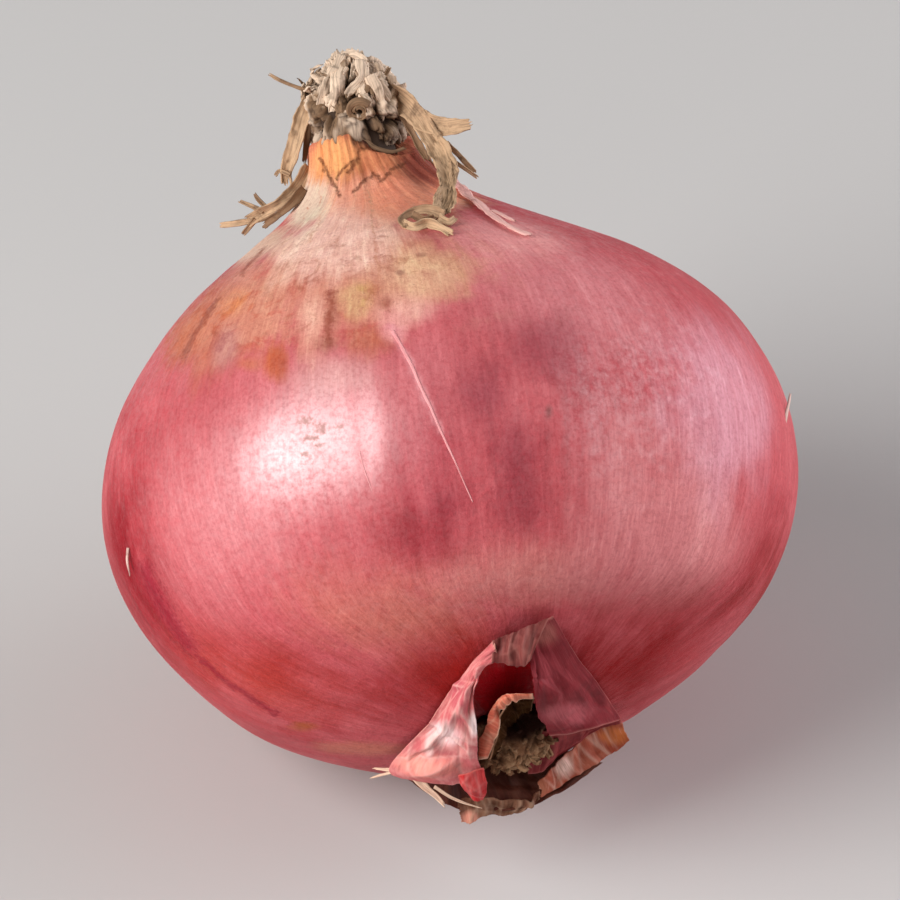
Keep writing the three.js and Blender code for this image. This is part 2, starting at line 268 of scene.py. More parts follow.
# Patches of the bulb's skin: middle, reach (right, up, near, in mm), soft core, colour and share. Most
# are its own stains; those noted below are painted light or shade.
STAINS = [
    # Painted shade on the lower left, over the skin's own deep red there.
    ("left cheek", (-25.5, -8.5, 9), (6.6, 16, 15), 0.0, rgb(0.27, 0.003, 0.011), 1.0),
    ("low left", (-15, -14.6, 13), (14, 7.0, 12), 0.0, rgb(0.43, 0.032, 0.020), 0.8),
    # Painted highlight: the glow of the highlight, spreading to the lower left.
    ("left glow", (-17, -3, 19), (9, 11, 13), 0.1, rgb(0.62, 0.185, 0.20), 0.9),
    ("belly", (-5.5, -8.8, 22), (12, 6.3, 10), 0.0, rgb(0.64, 0.185, 0.145), 0.9),
    ("pale belly", (5.5, -6.3, 24), (9.5, 4.2, 9), 0.0, rgb(0.66, 0.22, 0.20), 0.9),
    ("cheek glow", (-7.2, -6.4, 24.4), (5.5, 5.0, 8), 0.0, rgb(0.54, 0.105, 0.115), 0.45),
    # Painted sheen on the right side, paler and lilac.
    ("right sheen", (16, -2.0, 19), (12, 11, 14), 0.2, rgb(0.75, 0.26, 0.265), 0.9),
    ("right cheek", (20.5, 6, 15), (8.5, 9.5, 13), 0.1, rgb(0.75, 0.34, 0.40), 0.9),
    # Painted shade along the right edge and over the lower right.
    ("right edge", (25.8, -10.5, 5), (6.2, 12, 13), 0.1, rgb(0.27, 0.004, 0.003), 0.95),
    ("low right", (14.5, -14.2, 13), (13.5, 9.4, 16), 0.0, rgb(0.29, 0.002, 0.003), 1.0),
    # Painted light, lifting the shade at the right foot.
    ("right foot", (18.5, -13.5, 7), (5, 3.5, 8), 0.1, rgb(0.52, 0.060, 0.070), 0.6),
    # Painted shadow of the torn skin on the bulb.
    ("by the torn skin", (2.2, -14.6, 17), (8.6, 7.8, 11), 0.0, rgb(0.34, 0.012, 0.009), 0.95),
    ("shoulder", (8.5, 15.0, 18), (15, 7, 12), 0.1, rgb(0.68, 0.22, 0.235), 0.85),
    ("mid blush", (-1.5, 9.2, 24.5), (4.5, 4, 8), 0.1, rgb(0.58, 0.15, 0.17), 0.4),
    ("shoulder top", (3.5, 18.8, 14.5), (7, 3.6, 10), 0.2, rgb(0.84, 0.34, 0.33), 0.8),
    # Dark patches in the middle of the cheek: partly the skin's own dark pigment, partly a painted dark
    # reflection.
    ("dark cheek", (-1.2, 2.4, 25.8), (6.3, 8.6, 8), 0.1, rgb(0.42, 0.035, 0.056), 0.60),
    ("bruise 1", (6.9, 10.4, 23.3), (5.0, 4.2, 8), 0.0, rgb(0.33, 0.040, 0.060), 0.7),
    ("bruise 2", (2.5, 7.2, 25.6), (3.8, 4.0, 8), 0.0, rgb(0.33, 0.040, 0.060), 0.8),
    ("bruise 3", (4.8, 3.0, 26.2), (3.0, 4.8, 8), 0.0, rgb(0.33, 0.038, 0.057), 0.75),
    ("bruise 4", (5.6, -1.0, 25.8), (3.4, 4.0, 8), 0.0, rgb(0.34, 0.042, 0.058), 0.8),
    ("bruise 5", (-0.7, -1.4, 26.4), (3.4, 2.8, 8), 0.0, rgb(0.34, 0.034, 0.052), 0.75),
    ("bruise 6", (-2.3, -3.6, 25.9), (5.2, 3.6, 8), 0.15, rgb(0.33, 0.022, 0.034), 0.85),
    ("dry shoulder 1", (-17, 13.2, 13), (11.5, 7.0, 13), 0.35, rgb(0.50, 0.120, 0.075), 1.0),
    ("dry shoulder 2", (-8, 16.0, 16), (10, 9.0, 13), 0.35, rgb(0.56, 0.175, 0.115), 1.0),
    ("dry shoulder 3", (-3.0, 16.2, 18), (6.0, 5.0, 9), 0.45, rgb(0.58, 0.23, 0.135), 1.0),
    ("amber edge", (-20, 12.5, 9), (6, 4.0, 12), 0.1, rgb(0.52, 0.13, 0.050), 0.8),
    ("neck base", (-5.5, 23.0, 3.0), (9, 6, 15), 0.55, rgb(0.82, 0.38, 0.25), 0.95),
    ("neck blush", (-8.6, 18.7, 11.5), (7.4, 5.8, 14), 0.4, rgb(0.94, 0.60, 0.49), 0.95),
    ("neck blush 2", (-3.6, 22.4, 5.5), (6.2, 4.6, 13), 0.35, rgb(0.78, 0.28, 0.17), 0.9),
    ("pale patch", (-10.5, 13.2, 19.6), (1.9, 3.3, 8), 0.2, rgb(0.82, 0.46, 0.35), 0.8),
    ("neck cream", (-10.9, 22.0, 1.5), (2.5, 5.6, 9), 0.4, rgb(0.76, 0.59, 0.45), 0.95),
    ("cream hem", (-14.2, 18.6, 3.0), (4.4, 2.6, 8), 0.35, rgb(0.78, 0.54, 0.40), 0.9),
    ("hem blush", (-14.6, 16.4, 8.0), (3.4, 2.0, 6), 0.3, rgb(0.64, 0.235, 0.175), 0.8),
    ("neck orange", (-7.2, 26.0, 1.0), (6.8, 3.4, 12), 0.45, rgb(0.50, 0.170, 0.078), 0.95),
    ("neck bright", (-9.3, 25.6, 0.0), (3.4, 2.7, 10), 0.35, rgb(0.82, 0.37, 0.150), 0.95),
    # Painted shade beside the neck under the knot, and in the hollow between them.
    ("neck shade", (-1.9, 25.0, -1.0), (3.2, 2.9, 9), 0.35, rgb(0.25, 0.060, 0.042), 0.95),
    ("neck hollow", (-5.3, 27.2, 0.0), (3.0, 1.3, 4.0), 0.5, rgb(0.03, 0.012, 0.010), 0.95),
    ("olive patch", (-7.1, 14.3, 20.3), (2.1, 2.5, 8), 0.35, rgb(0.60, 0.37, 0.15), 0.85),
    ("tan patch", (-1.8, 16.2, 19.4), (4.2, 3.2, 8), 0.3, rgb(0.74, 0.43, 0.26), 0.9),
    ("pale band", (-3.2, 13.4, 21.3), (4.4, 1.9, 8), 0.1, rgb(0.90, 0.47, 0.41), 0.7),
    # Painted highlight: the top of the highlight, spreading upwards.
    ("pale brow", (-8.9, 8.6, 23.7), (5.6, 3.0, 7), 0.1, rgb(0.63, 0.27, 0.255), 0.8),
    ("burnt patch", (-6.2, 11.1, 22.0), (3.0, 2.3, 8), 0.2, rgb(0.47, 0.115, 0.055), 0.8),
    ("crease blush", (-4.2, 12.2, 22.4), (1.7, 1.8, 6), 0.2, rgb(0.92, 0.42, 0.41), 0.75),
    ("dark streak", (-8.9, 13.0, 20.7), (0.8, 2.0, 6), 0.1, rgb(0.32, 0.095, 0.062), 0.8),
    ("dark streak foot", (-9.3, 10.9, 22.1), (1.3, 1.1, 5), 0.1, rgb(0.33, 0.090, 0.065), 0.85),
    ("burnt spot", (-4.9, 14.0, 21.0), (0.8, 0.8, 6), 0.2, rgb(0.34, 0.085, 0.045), 0.85),
    ("dark speck 1", (-3.8, 16.3, 18.8), (0.45, 0.3, 4), 0.3, rgb(0.16, 0.05, 0.025), 0.85),
    ("dark speck 2", (-2.1, 17.7, 17.2), (0.6, 0.25, 4), 0.3, rgb(0.22, 0.08, 0.04), 0.7),
    ("rust", (-13.1, 9.6, 20.6), (1.5, 2.4, 6), 0.45, rgb(0.46, 0.065, 0.012), 1.0),
    ("rust tail", (-15.2, 9.4, 19.0), (1.5, 0.9, 6), 0.2, rgb(0.50, 0.11, 0.045), 0.75),
    ("lilac patch", (-17.0, 10.7, 16.3), (1.7, 2.8, 6), 0.2, rgb(0.40, 0.20, 0.21), 0.5),
    ("orange patch", (-16.8, 14.4, 13.0), (2.2, 1.8, 6), 0.2, rgb(0.68, 0.23, 0.085), 0.7),
    # Painted shadow under the foot of the strip that lies on the shoulder.
    ("under the loop", (-1.9, 19.3, 14.6), (2.4, 0.8, 6), 0.2, rgb(0.42, 0.07, 0.09), 0.7),
    ("grey fleck", (7.4, 5.8, 25.4), (0.5, 0.9, 6), 0.1, rgb(0.20, 0.07, 0.065), 0.7),
    ("scorch", (-11.3, -18.3, 8.8), (1.7, 0.6, 6), 0.2, rgb(0.40, 0.09, 0.020), 0.8),
    ("tan hem", (-6.4, -20.0, 6.5), (5.0, 0.9, 8), 0.3, rgb(0.58, 0.19, 0.13), 0.75),
    ("root window", (4.3, -15.2, 15.0), (3.6, 3.7, 5), 0.6, rgb(0.56, 0.006, 0.014), 1.0),
    # Painted shade in the root's hollow.
    ("root hollow", (5.8, -18.9, 7.4), (5.6, 3.6, 7), 0.7, rgb(0.004, 0.001, 0.001), 1.0),
]

CRACK = rgb(0.13, 0.04, 0.018)
# Lines in the skin by colour: each a route (right, up, near) and how far it reaches to either side.
SEAMS = [
    (CRACK, [
        ([(-7.9, 24.5, 1.8), (-7.6, 24.9, 1.6), (-7.3, 25.5, 1.3), (-6.9, 26.3, 0.7),
          (-6.1, 26.8, 0.3)], 0.32),
        ([(-10.1, 25.5, -0.7), (-9.6, 24.5, 0.5), (-9.0, 23.5, 1.9), (-8.5, 22.7, 3.6)], 0.26),
        ([(-7.4, 22.9, 3.9), (-6.7, 23.7, 2.9), (-5.9, 24.4, 2.2), (-5.4, 23.8, 3.1), (-4.5, 24.5, 2.6),
          (-3.6, 25.2, 1.0)], 0.26),
        ([(-8.8, 23.9, 1.7), (-8.2, 24.8, 1.4), (-7.5, 25.4, 1.2)], 0.18),
    ]),
    (rgb(0.29, 0.065, 0.035), [
        ([(-9.0, 14.8, 18.5), (-9.0, 13.6, 19.9), (-9.2, 12.2, 21.1), (-9.2, 10.9, 22.0)], 0.6),
        ([(-20.4, 10.1, 11.9), (-19.7, 11.5, 11.1), (-18.7, 13.0, 10.7), (-17.8, 14.4, 9.9)], 0.5),
        ([(-16.0, 16.5, 8.6), (-15.2, 17.5, 6.8), (-14.4, 18.4, 5.3)], 0.4),
    ]),
    (rgb(0.74, 0.29, 0.31), [
        ([(-4.5, 12.2, 22.7), (-3.3, 10.0, 24.2), (-2.1, 7.4, 25.4), (-0.7, 4.3, 26.3)], 0.5),
    ]),
    (rgb(0.60, 0.27, 0.17), [
        ([(-6.3, 24.0, 2.4), (-6.2, 22.3, 5.4), (-5.9, 20.3, 10.9), (-5.6, 18.1, 15.6),
          (-5.4, 16.0, 18.7)], 0.16),
        ([(-10.4, 23.9, -0.2), (-10.0, 22.2, 2.9), (-10.1, 20.4, 6.8), (-10.8, 18.9, 10.2)], 0.14),
        ([(-11.0, 21.8, 1.5), (-11.6, 20.2, 5.6), (-12.9, 18.7, 8.1)], 0.14),
    ]),
    # Along the lower left, the edge of the outermost skin, with the slight shadow of its edge painted
    # in.
    (rgb(0.26, 0.006, 0.022), [
        ([(-23.4, -6.3, 11.0), (-22.6, -8.1, 10.9), (-21.5, -10.1, 10.5), (-20.0, -12.2, 10.1)], 1.3),
        ([(-19.3, -13.0, 9.9), (-17.4, -14.6, 9.8), (-15.4, -16.1, 9.8), (-13.4, -17.3, 9.6)], 0.45),
    ]),
]
# Where something has rubbed the cheek: middle and reach.
NICKS = [
    ((-10.8, 5.1, 24.0), (0.9, 0.5, 3)),
    ((-9.6, 4.5, 24.6), (0.8, 0.7, 3)),
    ((-10.4, 3.8, 24.6), (0.9, 0.4, 3)),
    ((-9.8, 3.3, 24.9), (0.5, 0.5, 3)),
    ((-10.9, 2.6, 24.5), (0.6, 0.3, 3)),
    ((-8.3, 4.6, 24.9), (0.5, 0.3, 3)),
]


def bulb_skin_finish():
    """Fresh skin, stained, streaked and veined, that is dry and cracked towards the neck; some of its
    patches are painted light and shade.
    """
    finish = Finish("bulb_skin")
    place = finish.mark("front")
    meridian = finish.mark("meridian")
    veins_at = finish.vector("MULTIPLY", meridian, (1, 1, 0.10))
    bands_at = finish.vector("MULTIPLY", meridian, (1, 1, 0.16))
    fine = finish.noise(veins_at, 3.4, 5.0, 0.65)
    streak = finish.noise(bands_at, 0.7, 5.0, 0.6)
    broad = finish.noise(bands_at, 0.16, 3.0, 0.5)
    cloud = finish.noise(place, 0.13, 5.0, 0.6, 0.4)
    fleck = finish.noise(place, 3.0, 4.0, 0.65)
    mottle = finish.noise(finish.vector("MULTIPLY", meridian, (1, 1, 0.45)), 0.9, 5.0, 0.7)
    feather = (streak - 0.5) * 0.7 + (cloud - 0.5) * 1.1
    base, flushed = rgb(0.47, 0.062, 0.075), rgb(0.57, 0.105, 0.12)
    colour = finish.blend(finish.ease(cloud, 0.35, 0.65), base, flushed)
    colour = finish.stain(colour, place, [stain[1:] for stain in STAINS], feather)
    # Blotches and specks, on the dry skin of the shoulder above all.
    dry = finish.spot(place, (-10, 15.5, 16), (18, 8.5, 14), 0.5, feather)
    blotch = finish.ease(finish.noise(place, 0.55, 5.0, 0.7, 0.8), 0.50, 0.66) * dry
    colour = finish.blend(blotch * 0.5, colour, rgb(0.34, 0.085, 0.040))
    pale = finish.ease(finish.noise(place, 0.42, 4.0, 0.65, 0.5), 0.60, 0.46) * dry
    colour = finish.blend(pale * 0.35, colour, rgb(0.72, 0.36, 0.26))
    speck = finish.ease(fleck, 0.60, 0.70) * dry
    colour = finish.blend(speck * 0.4, colour, rgb(0.25, 0.08, 0.05))
    # Cracks in the dry neck, and darker lines where the outermost skin lies over the next; along the
    # lower left, that line also carries a painted shadow of the skin's edge.
    uneven = finish.strayed(place, 1.1, 0.9)
    crack_line = 0.0
    for tint, seams in SEAMS:
        for route, reach in seams:
            line = finish.seam(uneven, route, reach, (fleck - 0.5) * reach * 1.6)
            colour = finish.blend(line * 0.75, colour, tint)
            if tint == CRACK:
                crack_line = line + crack_line
    # Fine veins from neck to root, darker and paler by turns.
    paler = rgb(1.18, 1.45, 1.40)
    for pattern, start, end, share, tint in (
        (fine, 0.58, 0.36, 0.24, rgb(0.60, 0.34, 0.38)),
        (fine, 0.54, 0.74, 0.50, paler),
        (streak, 0.52, 0.30, 0.26, rgb(0.70, 0.44, 0.48)),
        (mottle, 0.48, 0.34, 0.28, rgb(0.72, 0.46, 0.50)),
        (mottle, 0.54, 0.70, 0.55, paler),
        (broad, 0.5, 0.72, 0.55, paler),
        (fleck, 0.52, 0.36, 0.26, rgb(0.55, 0.36, 0.40)),
    ):
        colour = finish.wash(colour, pattern, start, end, share, tint, "MULTIPLY")
    rubbed = 0.0
    for centre, reach in NICKS:
        mask = finish.spot(place, centre, reach, 0.0, (fleck - 0.5) * 1.8)
        colour = finish.blend(mask * 0.75, colour, rgb(0.28, 0.13, 0.10))
        rubbed = rubbed + mask
    grain = finish.noise(veins_at, 7.0, 3.0, 0.6)
    height = fine * 0.6 + grain * 0.3 + fleck * 0.3 - crack_line * 2.5
    normal = finish.bump(height, 0.00007, 0.6)
    pits = finish.noise(place, 1.3, 5.0, 0.7)
    normal = finish.bump(pits, 0.0005, 0.32, over=normal)
    roughness = 0.42 + (streak - 0.5) * 0.16 + (pits - 0.5) * 0.3 + dry * 0.08
    gloss = finish.spot(place, (-6, 9, 18), (27, 22, 27), 0.3, (pits - 0.5) * 0.9)
    gloss = gloss * (1.2 - finish.ease(fleck, 0.60, 0.36) * 0.4) * (1 - dry * 0.7)
    gloss = gloss * (1 - finish.ease(rubbed, 0.0, 1.0) * 0.6)
    return finish.shade(
        colour, roughness, normal, gloss, Specular_IOR_Level=0.06, Coat_Roughness=0.38, Coat_IOR=2.0)


def leaf_finish(name, light, middle, dark, roughness=0.78):
    """Dried leaf: fibres along each strip, a tone of its own for each, and painted shade in its folds.
    """
    finish = Finish(name)
    place = finish.mark("front")
    tone = finish.mark("tone", "Fac")
    fold = finish.mark("fold", "Fac")
    strip = finish.mark("strip")
    fibre = finish.noise(finish.vector("MULTIPLY", strip, (9, 0.5, 1)), 1.0, 4.0, 0.6)
    blotch = finish.noise(place, 0.7, 4.0, 0.6, 0.3)
    colour = finish.blend(finish.ease(tone + (blotch - 0.5) * 0.9, 0.15, 0.85), middle, light)
    colour = finish.wash(colour, fibre, 0.54, 0.36, 0.38, dark)
    colour = finish.wash(colour, blotch, 0.44, 0.30, 0.45, dark)
    # Painted shade where the fold mark is high.
    colour = finish.blend(fold, colour, dark)
    normal = finish.bump(fibre * 0.7 + blotch * 0.3, 0.00010, 0.6)
    return finish.shade(colour, roughness, normal, Specular_IOR_Level=0.3)


def torn_finish(name, fresh, dry, dark, pale=rgb(0.86, 0.52, 0.46),
                edge_tint_and_glint=rgb(0.66, 0.36, 0.27), crumple=0.5, spots=(), shine=0.15):
    """Torn outer skin: veined and mottled; painted highlights along its creases; paler at its torn
    edges, partly its own colour and partly a painted highlight.
    """
    finish = Finish(name)
    place = finish.mark("front")
    crease = finish.mark("crease", "Fac")
    edge = finish.mark("edge", "Fac")
    strip = finish.mark("strip")
    veins = finish.noise(finish.vector("MULTIPLY", strip, (4.5, 0.45, 1)), 1.0, 5.0, 0.6)
    mottle = finish.noise(place, 0.6, 5.0, 0.6, 0.5)
    colour = finish.blend(finish.ease(mottle, 0.38, 0.66), fresh, dry)
    colour = finish.stain(colour, place, spots, (mottle - 0.5) * 0.8)
    colour = finish.wash(colour, veins, 0.55, 0.35, 0.40, dark)
    colour = finish.wash(colour, veins, 0.56, 0.74, 0.35, pale)
    # Painted highlight along the creases.
    colour = finish.blend(crease * crumple, colour, pale)
    # The torn edges: partly their own paler colour, partly a painted highlight.
    colour = finish.blend(edge * 0.8, colour, edge_tint_and_glint)
    normal = finish.bump(veins * 0.5 + mottle * 0.5, 0.00014, 0.7)
    return finish.shade(colour, 0.7 - shine + (mottle - 0.5) * 0.2, normal, Specular_IOR_Level=shine)


def root_finish():
    """Cork, paler on its crumbs, with painted shade in its cracks and under the torn skin."""
    finish = Finish("dry_root")
    place = finish.mark("front")
    fold = finish.mark("fold", "Fac")
    crumb = finish.noise(place, 2.2, 5.0, 0.7)
    patch = finish.noise(place, 0.6, 3.0, 0.6)
    cork, straw = rgb(0.21, 0.095, 0.048), rgb(0.38, 0.21, 0.113)
    colour = finish.blend(finish.ease(patch, 0.4, 0.65), cork, straw)
    colour = finish.wash(colour, crumb, 0.5, 0.68, 0.7, rgb(0.42, 0.26, 0.150))
    # Painted shade in the cracks.
    colour = finish.blend(fold, colour, rgb(0.02, 0.008, 0.005))
    # Painted shade under the torn skin.
    shaded = finish.spot(place, (5.2, -17.6, 11.5), (4.2, 2.3, 6), 0.5, (patch - 0.5) * 0.5)
    colour = finish.blend(shaded, colour, rgb(0.024, 0.006, 0.003))
    normal = finish.bump(crumb, 0.0003, 0.9)
    return finish.shade(colour, 0.9, normal, Specular_IOR_Level=0.1)


# ---- Meshes ----
# Points that a route or a panel's net is smoothed into, and those of a route laid on a surface.
ROUTE_SAMPLES = 200
NET_SAMPLES = 120
LAID_POINTS = 40


def placed(name, data):
    """A new object in the scene, at the origin."""
    made = bpy.data.objects.new(name, data)
    bpy.context.scene.collection.objects.link(made)
    return made


class Heap:
    """Vertices, faces and marks gathered for one piece."""

    def __init__(self):
        self.vertices, self.faces, self.marks, self.count = [], [], {}, 0

    def add(self, vertices, faces, marks):
        vertices = np.asarray(vertices).reshape(-1, 3)
        self.vertices.append(vertices)
        self.faces += [tuple(i + self.count for i in face) for face in faces]
        self.count += len(vertices)
        for name, values in marks.items():
            self.marks.setdefault(name, []).append(np.asarray(values, float))

    def piece(self, name, material, node=None):
        vertices = np.concatenate(self.vertices)
        mesh = bpy.data.meshes.new(name)
        mesh.from_pydata(vertices.tolist(), [], self.faces)
        self.marks["front"] = [world_to_front(vertices)]
        for mark, parts in self.marks.items():
            values = np.concatenate(parts)
            kind = "FLOAT_VECTOR" if values.ndim == 2 else "FLOAT"
            layer = mesh.attributes.new(mark, kind, "POINT")
            layer.data.foreach_set("vector" if kind == "FLOAT_VECTOR" else "value", values.ravel())
        mesh.materials.append(material)
        mesh.validate()
        mesh.shade_smooth()
        made = placed(name, mesh)
        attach(made, "root")
        if node:
            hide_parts(node)


def smooth_route(route, steps):
    """Points spaced evenly by number along a curve through the route's points."""
    route = np.asarray(route, float)
    padded = np.concatenate([[2 * route[0] - route[1]], route, [2 * route[-1] - route[-2]]])
    at = np.linspace(0, len(route) - 1, steps)
    index = np.minimum(at.astype(int), len(route) - 2)
    t = (at - index).reshape((-1,) + (1,) * (route.ndim - 1))
    a, b, c, d = (padded[index + k] for k in range(4))
    curve = 2 * b + (c - a) * t + (2 * a - 5 * b + 4 * c - d) * t**2 + (3 * b - a - 3 * c + d) * t**3
    return curve / 2


def run_along(line):
    """How far along the line each of its points is."""
    return np.concatenate([[0], np.cumsum(np.linalg.norm(np.diff(line, axis=0), axis=1))])


def spaced_evenly(line, count):
    """Radii and heights of points evenly along an outline, and how far along each is."""
    run = run_along(line)
    even = np.linspace(0, run[-1], count)
    return np.interp(even, run, line[:, 0]), np.interp(even, run, line[:, 1]), even


def unit(vectors):
    """The vectors at length 1."""
    return vectors / np.maximum(np.linalg.norm(vectors, axis=-1, keepdims=True), 1e-9)


def grid_normals(grid):
    return unit(np.cross(np.gradient(grid, axis=0), np.gradient(grid, axis=1)))


def add_sheet(heap, grid, thickness, **marks):
    """A grid of points, in metres, as a closed sheet of that thickness."""
    rows, columns = grid.shape[:2]
    half = grid_normals(grid) * thickness / 2
    vertices = np.concatenate([(grid + half).reshape(-1, 3), (grid - half).reshape(-1, 3)])
    index = np.arange(rows * columns).reshape(rows, columns)
    under = rows * columns
    faces = []
    for i in range(rows - 1):
        for j in range(columns - 1):
            a, b, c, d = (int(v) for v in (
                index[i, j], index[i + 1, j], index[i + 1, j + 1], index[i, j + 1]))
            faces.append((a, b, c, d))
            faces.append((d + under, c + under, b + under, a + under))
    rim = [*index[0, :-1], *index[:-1, -1], *index[-1, :0:-1], *index[:0:-1, 0]]
    rim = [int(v) for v in rim]
    for a, b in zip(rim, rim[1:] + rim[:1]):
        faces.append((a, b, b + under, a + under))
    doubled = {
        name: np.concatenate([np.reshape(value, (under, -1))] * 2).squeeze()
        for name, value in marks.items()
    }
    heap.add(vertices, faces, doubled)


def closed_lump(heap, points, to_world, **marks):
    """A closed skin over rows of points that each run once round, anticlockwise seen from above.

    It faces outward where the rows run from the top down.
    """
    rows, around = points.shape[:2]
    faces = []
    for i in range(rows - 1):
        for j in range(around):
            k = (j + 1) % around
            faces.append((i * around + j, (i + 1) * around + j, (i + 1) * around + k, i * around + k))
    faces.append(tuple(range(around)))
    faces.append(tuple((rows - 1) * around + j for j in range(around))[::-1])
    flat = {name: np.reshape(value, (rows * around, -1)).squeeze() for name, value in marks.items()}
    heap.add(to_world(points), faces, flat)


def add_ribbon(heap, route, width, draw, facing, thickness=0.13, taper=0.5, curl=0.25, twist=0.4,
               ragged=0.12, ripple=0.10, grain=0.05, tone=None, fold=0.0, steps=30, across=11,
               to_world=bulb_to_world):
    """A dried leaf strip along a route in millimetres: curled across, rippled, torn at its end."""
    centre = smooth_route(route, ROUTE_SAMPLES)
    runs = run_along(centre)
    seed = draw.uniform(0, 90)
    columns = np.arange(across, dtype=float)
    torn = wobble(np.stack([columns, columns * 0 + seed, columns * 0], -1), 1.7, 3)
    along = np.linspace(0, 1, steps)[:, None] * (1 - ragged * (0.5 + torn))[None, :]
    at = np.clip(along * (ROUTE_SAMPLES - 1), 0, ROUTE_SAMPLES - 1.001)
    low = at.astype(int)
    share = (at - low)[..., None]

    def mix(values):
        return values[low] * (1 - share) + values[low + 1] * share

    def flat(across_mm, along_mm, size, octaves, shift=0.0):
        at_depth = np.full_like(along, seed + shift)
        return wobble(np.stack([across_mm, along_mm, at_depth], -1), size, octaves)

    point = mix(centre)
    tangent = unit(mix(unit(np.gradient(centre, axis=0))))
    lengthwise = mix(runs[:, None])[..., 0]
    side = unit(np.cross(tangent, np.asarray(facing, float)))
    zero = np.zeros_like(along)
    turn = twist * 2.0 * flat(zero, lengthwise / 3.5, 1.0, 2, 3.0)
    out = np.cross(side, tangent)
    side, out = (
        side * np.cos(turn)[..., None] + out * np.sin(turn)[..., None],
        out * np.cos(turn)[..., None] - side * np.sin(turn)[..., None],
    )
    offset = np.linspace(-1, 1, across)[None, :]
    narrowing = (1 - (1 - taper) * along**1.5) * (1 + 0.35 * flat(zero, lengthwise / 1.8, 1.0, 3, 7.0))
    spread = width / 2 * narrowing * offset
    bow = curl * width * narrowing * (1 - offset**2)
    ripples = ripple * width * 2 * flat(spread * 0.9, lengthwise / 2.4, 0.8, 3)
    fibres = flat(spread / 0.20, lengthwise / 3.0, 1.0, 2, 5.0)
    grid = point + side * spread[..., None] + out * (bow + ripples + grain * fibres)[..., None]
    strip = np.stack([spread, lengthwise, np.full_like(along, seed)], -1)
    # The fold mark is painted shade: deeper in the troughs of the ripples and between the fibres, and
    # raised all along by fold.
    add_sheet(
        heap, to_world(grid), thickness * MM,
        strip=strip,
        tone=np.full(along.shape, draw.uniform(0.2, 0.9) if tone is None else tone),
        fold=np.clip(fold - 1.2 * (ripples / width + 0.10) - 0.5 * fibres - 0.15, 0, 1),
    )


# ---- Bulb skin ----
BULB_COLUMNS = 420
BULB_ROWS = 225
# Radius and height: the foot of the skin in the root's hollow, and the two corners of the curve that
# carries the shoulder up into the neck.
FOOT = (0.02, -20.1), (4.2, -20.3)
FLARE = (11.8, 20.3), (4.8, 22.0)
# How far the neck's rim is rounded inwards and upwards, and how high its middle stands.
RIM_ROUND = 0.9
RIM_MIDDLE = 1.2
# Lobes round the bulb: share of the radius, number and turn.
LOBES = (0.008, 2, 0.6), (0.006, 3, -1.1)
# Heights between which the neck's pleats come in, and how deep they are.
PLEATED = 16, 24
PLEAT_DEPTH = 0.13
# Relief in millimetres: how wide it is and how deep; wrinkles are deeper where the neck is pleated.
WRINKLE_WIDTH, WRINKLE_DEPTH, NECK_WRINKLE_DEPTH = 2.2, 0.05, 0.16
FACET_WIDTH, FACET_DEPTH = 9.0, 0.16
SWELL_WIDTH, SWELL_DEPTH = 6.0, 0.10
# How much of its height counts in the wrinkles, so that they run from neck to root.
WRINKLE_STRETCH = 0.12
# The hollow between the neck and the knot: middle and reach, right, up and near.
HOLLOW = np.array([-5.0, 27.4, -0.8]), np.array([3.3, 1.9, 3.6])
HOLLOW_PUSH = np.array([0.0, -1.8, -0.8])


def share_near(points, centre, reach):
    """1 at an ellipsoid's middle, fading to 0 at its reach."""
    return 1 - ease(np.linalg.norm((points - centre) / reach, axis=-1), 0.2, 1)


def bulb_outline():
    """The skin's outline from the root's hollow to the top of the neck, evenly spaced."""
    root_angle = -math.acos(ROOT_FLAT_RADIUS / BULB_RADIUS)
    angles = np.linspace(root_angle, SHOULDER, 500)
    belly = np.stack([BULB_RADIUS * np.cos(angles), BULB_HALF_HEIGHT * np.sin(angles)], -1)
    t = np.linspace(0, 1, 200)[1:, None]
    corners = np.array([belly[-1], *FLARE, (NECK_RADIUS, NECK_TOP)])
    flare = (
        corners[0] * (1 - t) ** 3 + 3 * corners[1] * t * (1 - t) ** 2
        + 3 * corners[2] * t**2 * (1 - t) + corners[3] * t**3
    )
    rim = [(NECK_RADIUS - RIM_ROUND, NECK_TOP + RIM_ROUND), (0.02, NECK_TOP + RIM_MIDDLE)]
    return spaced_evenly(np.concatenate([FOOT, belly, flare, rim]), BULB_ROWS)


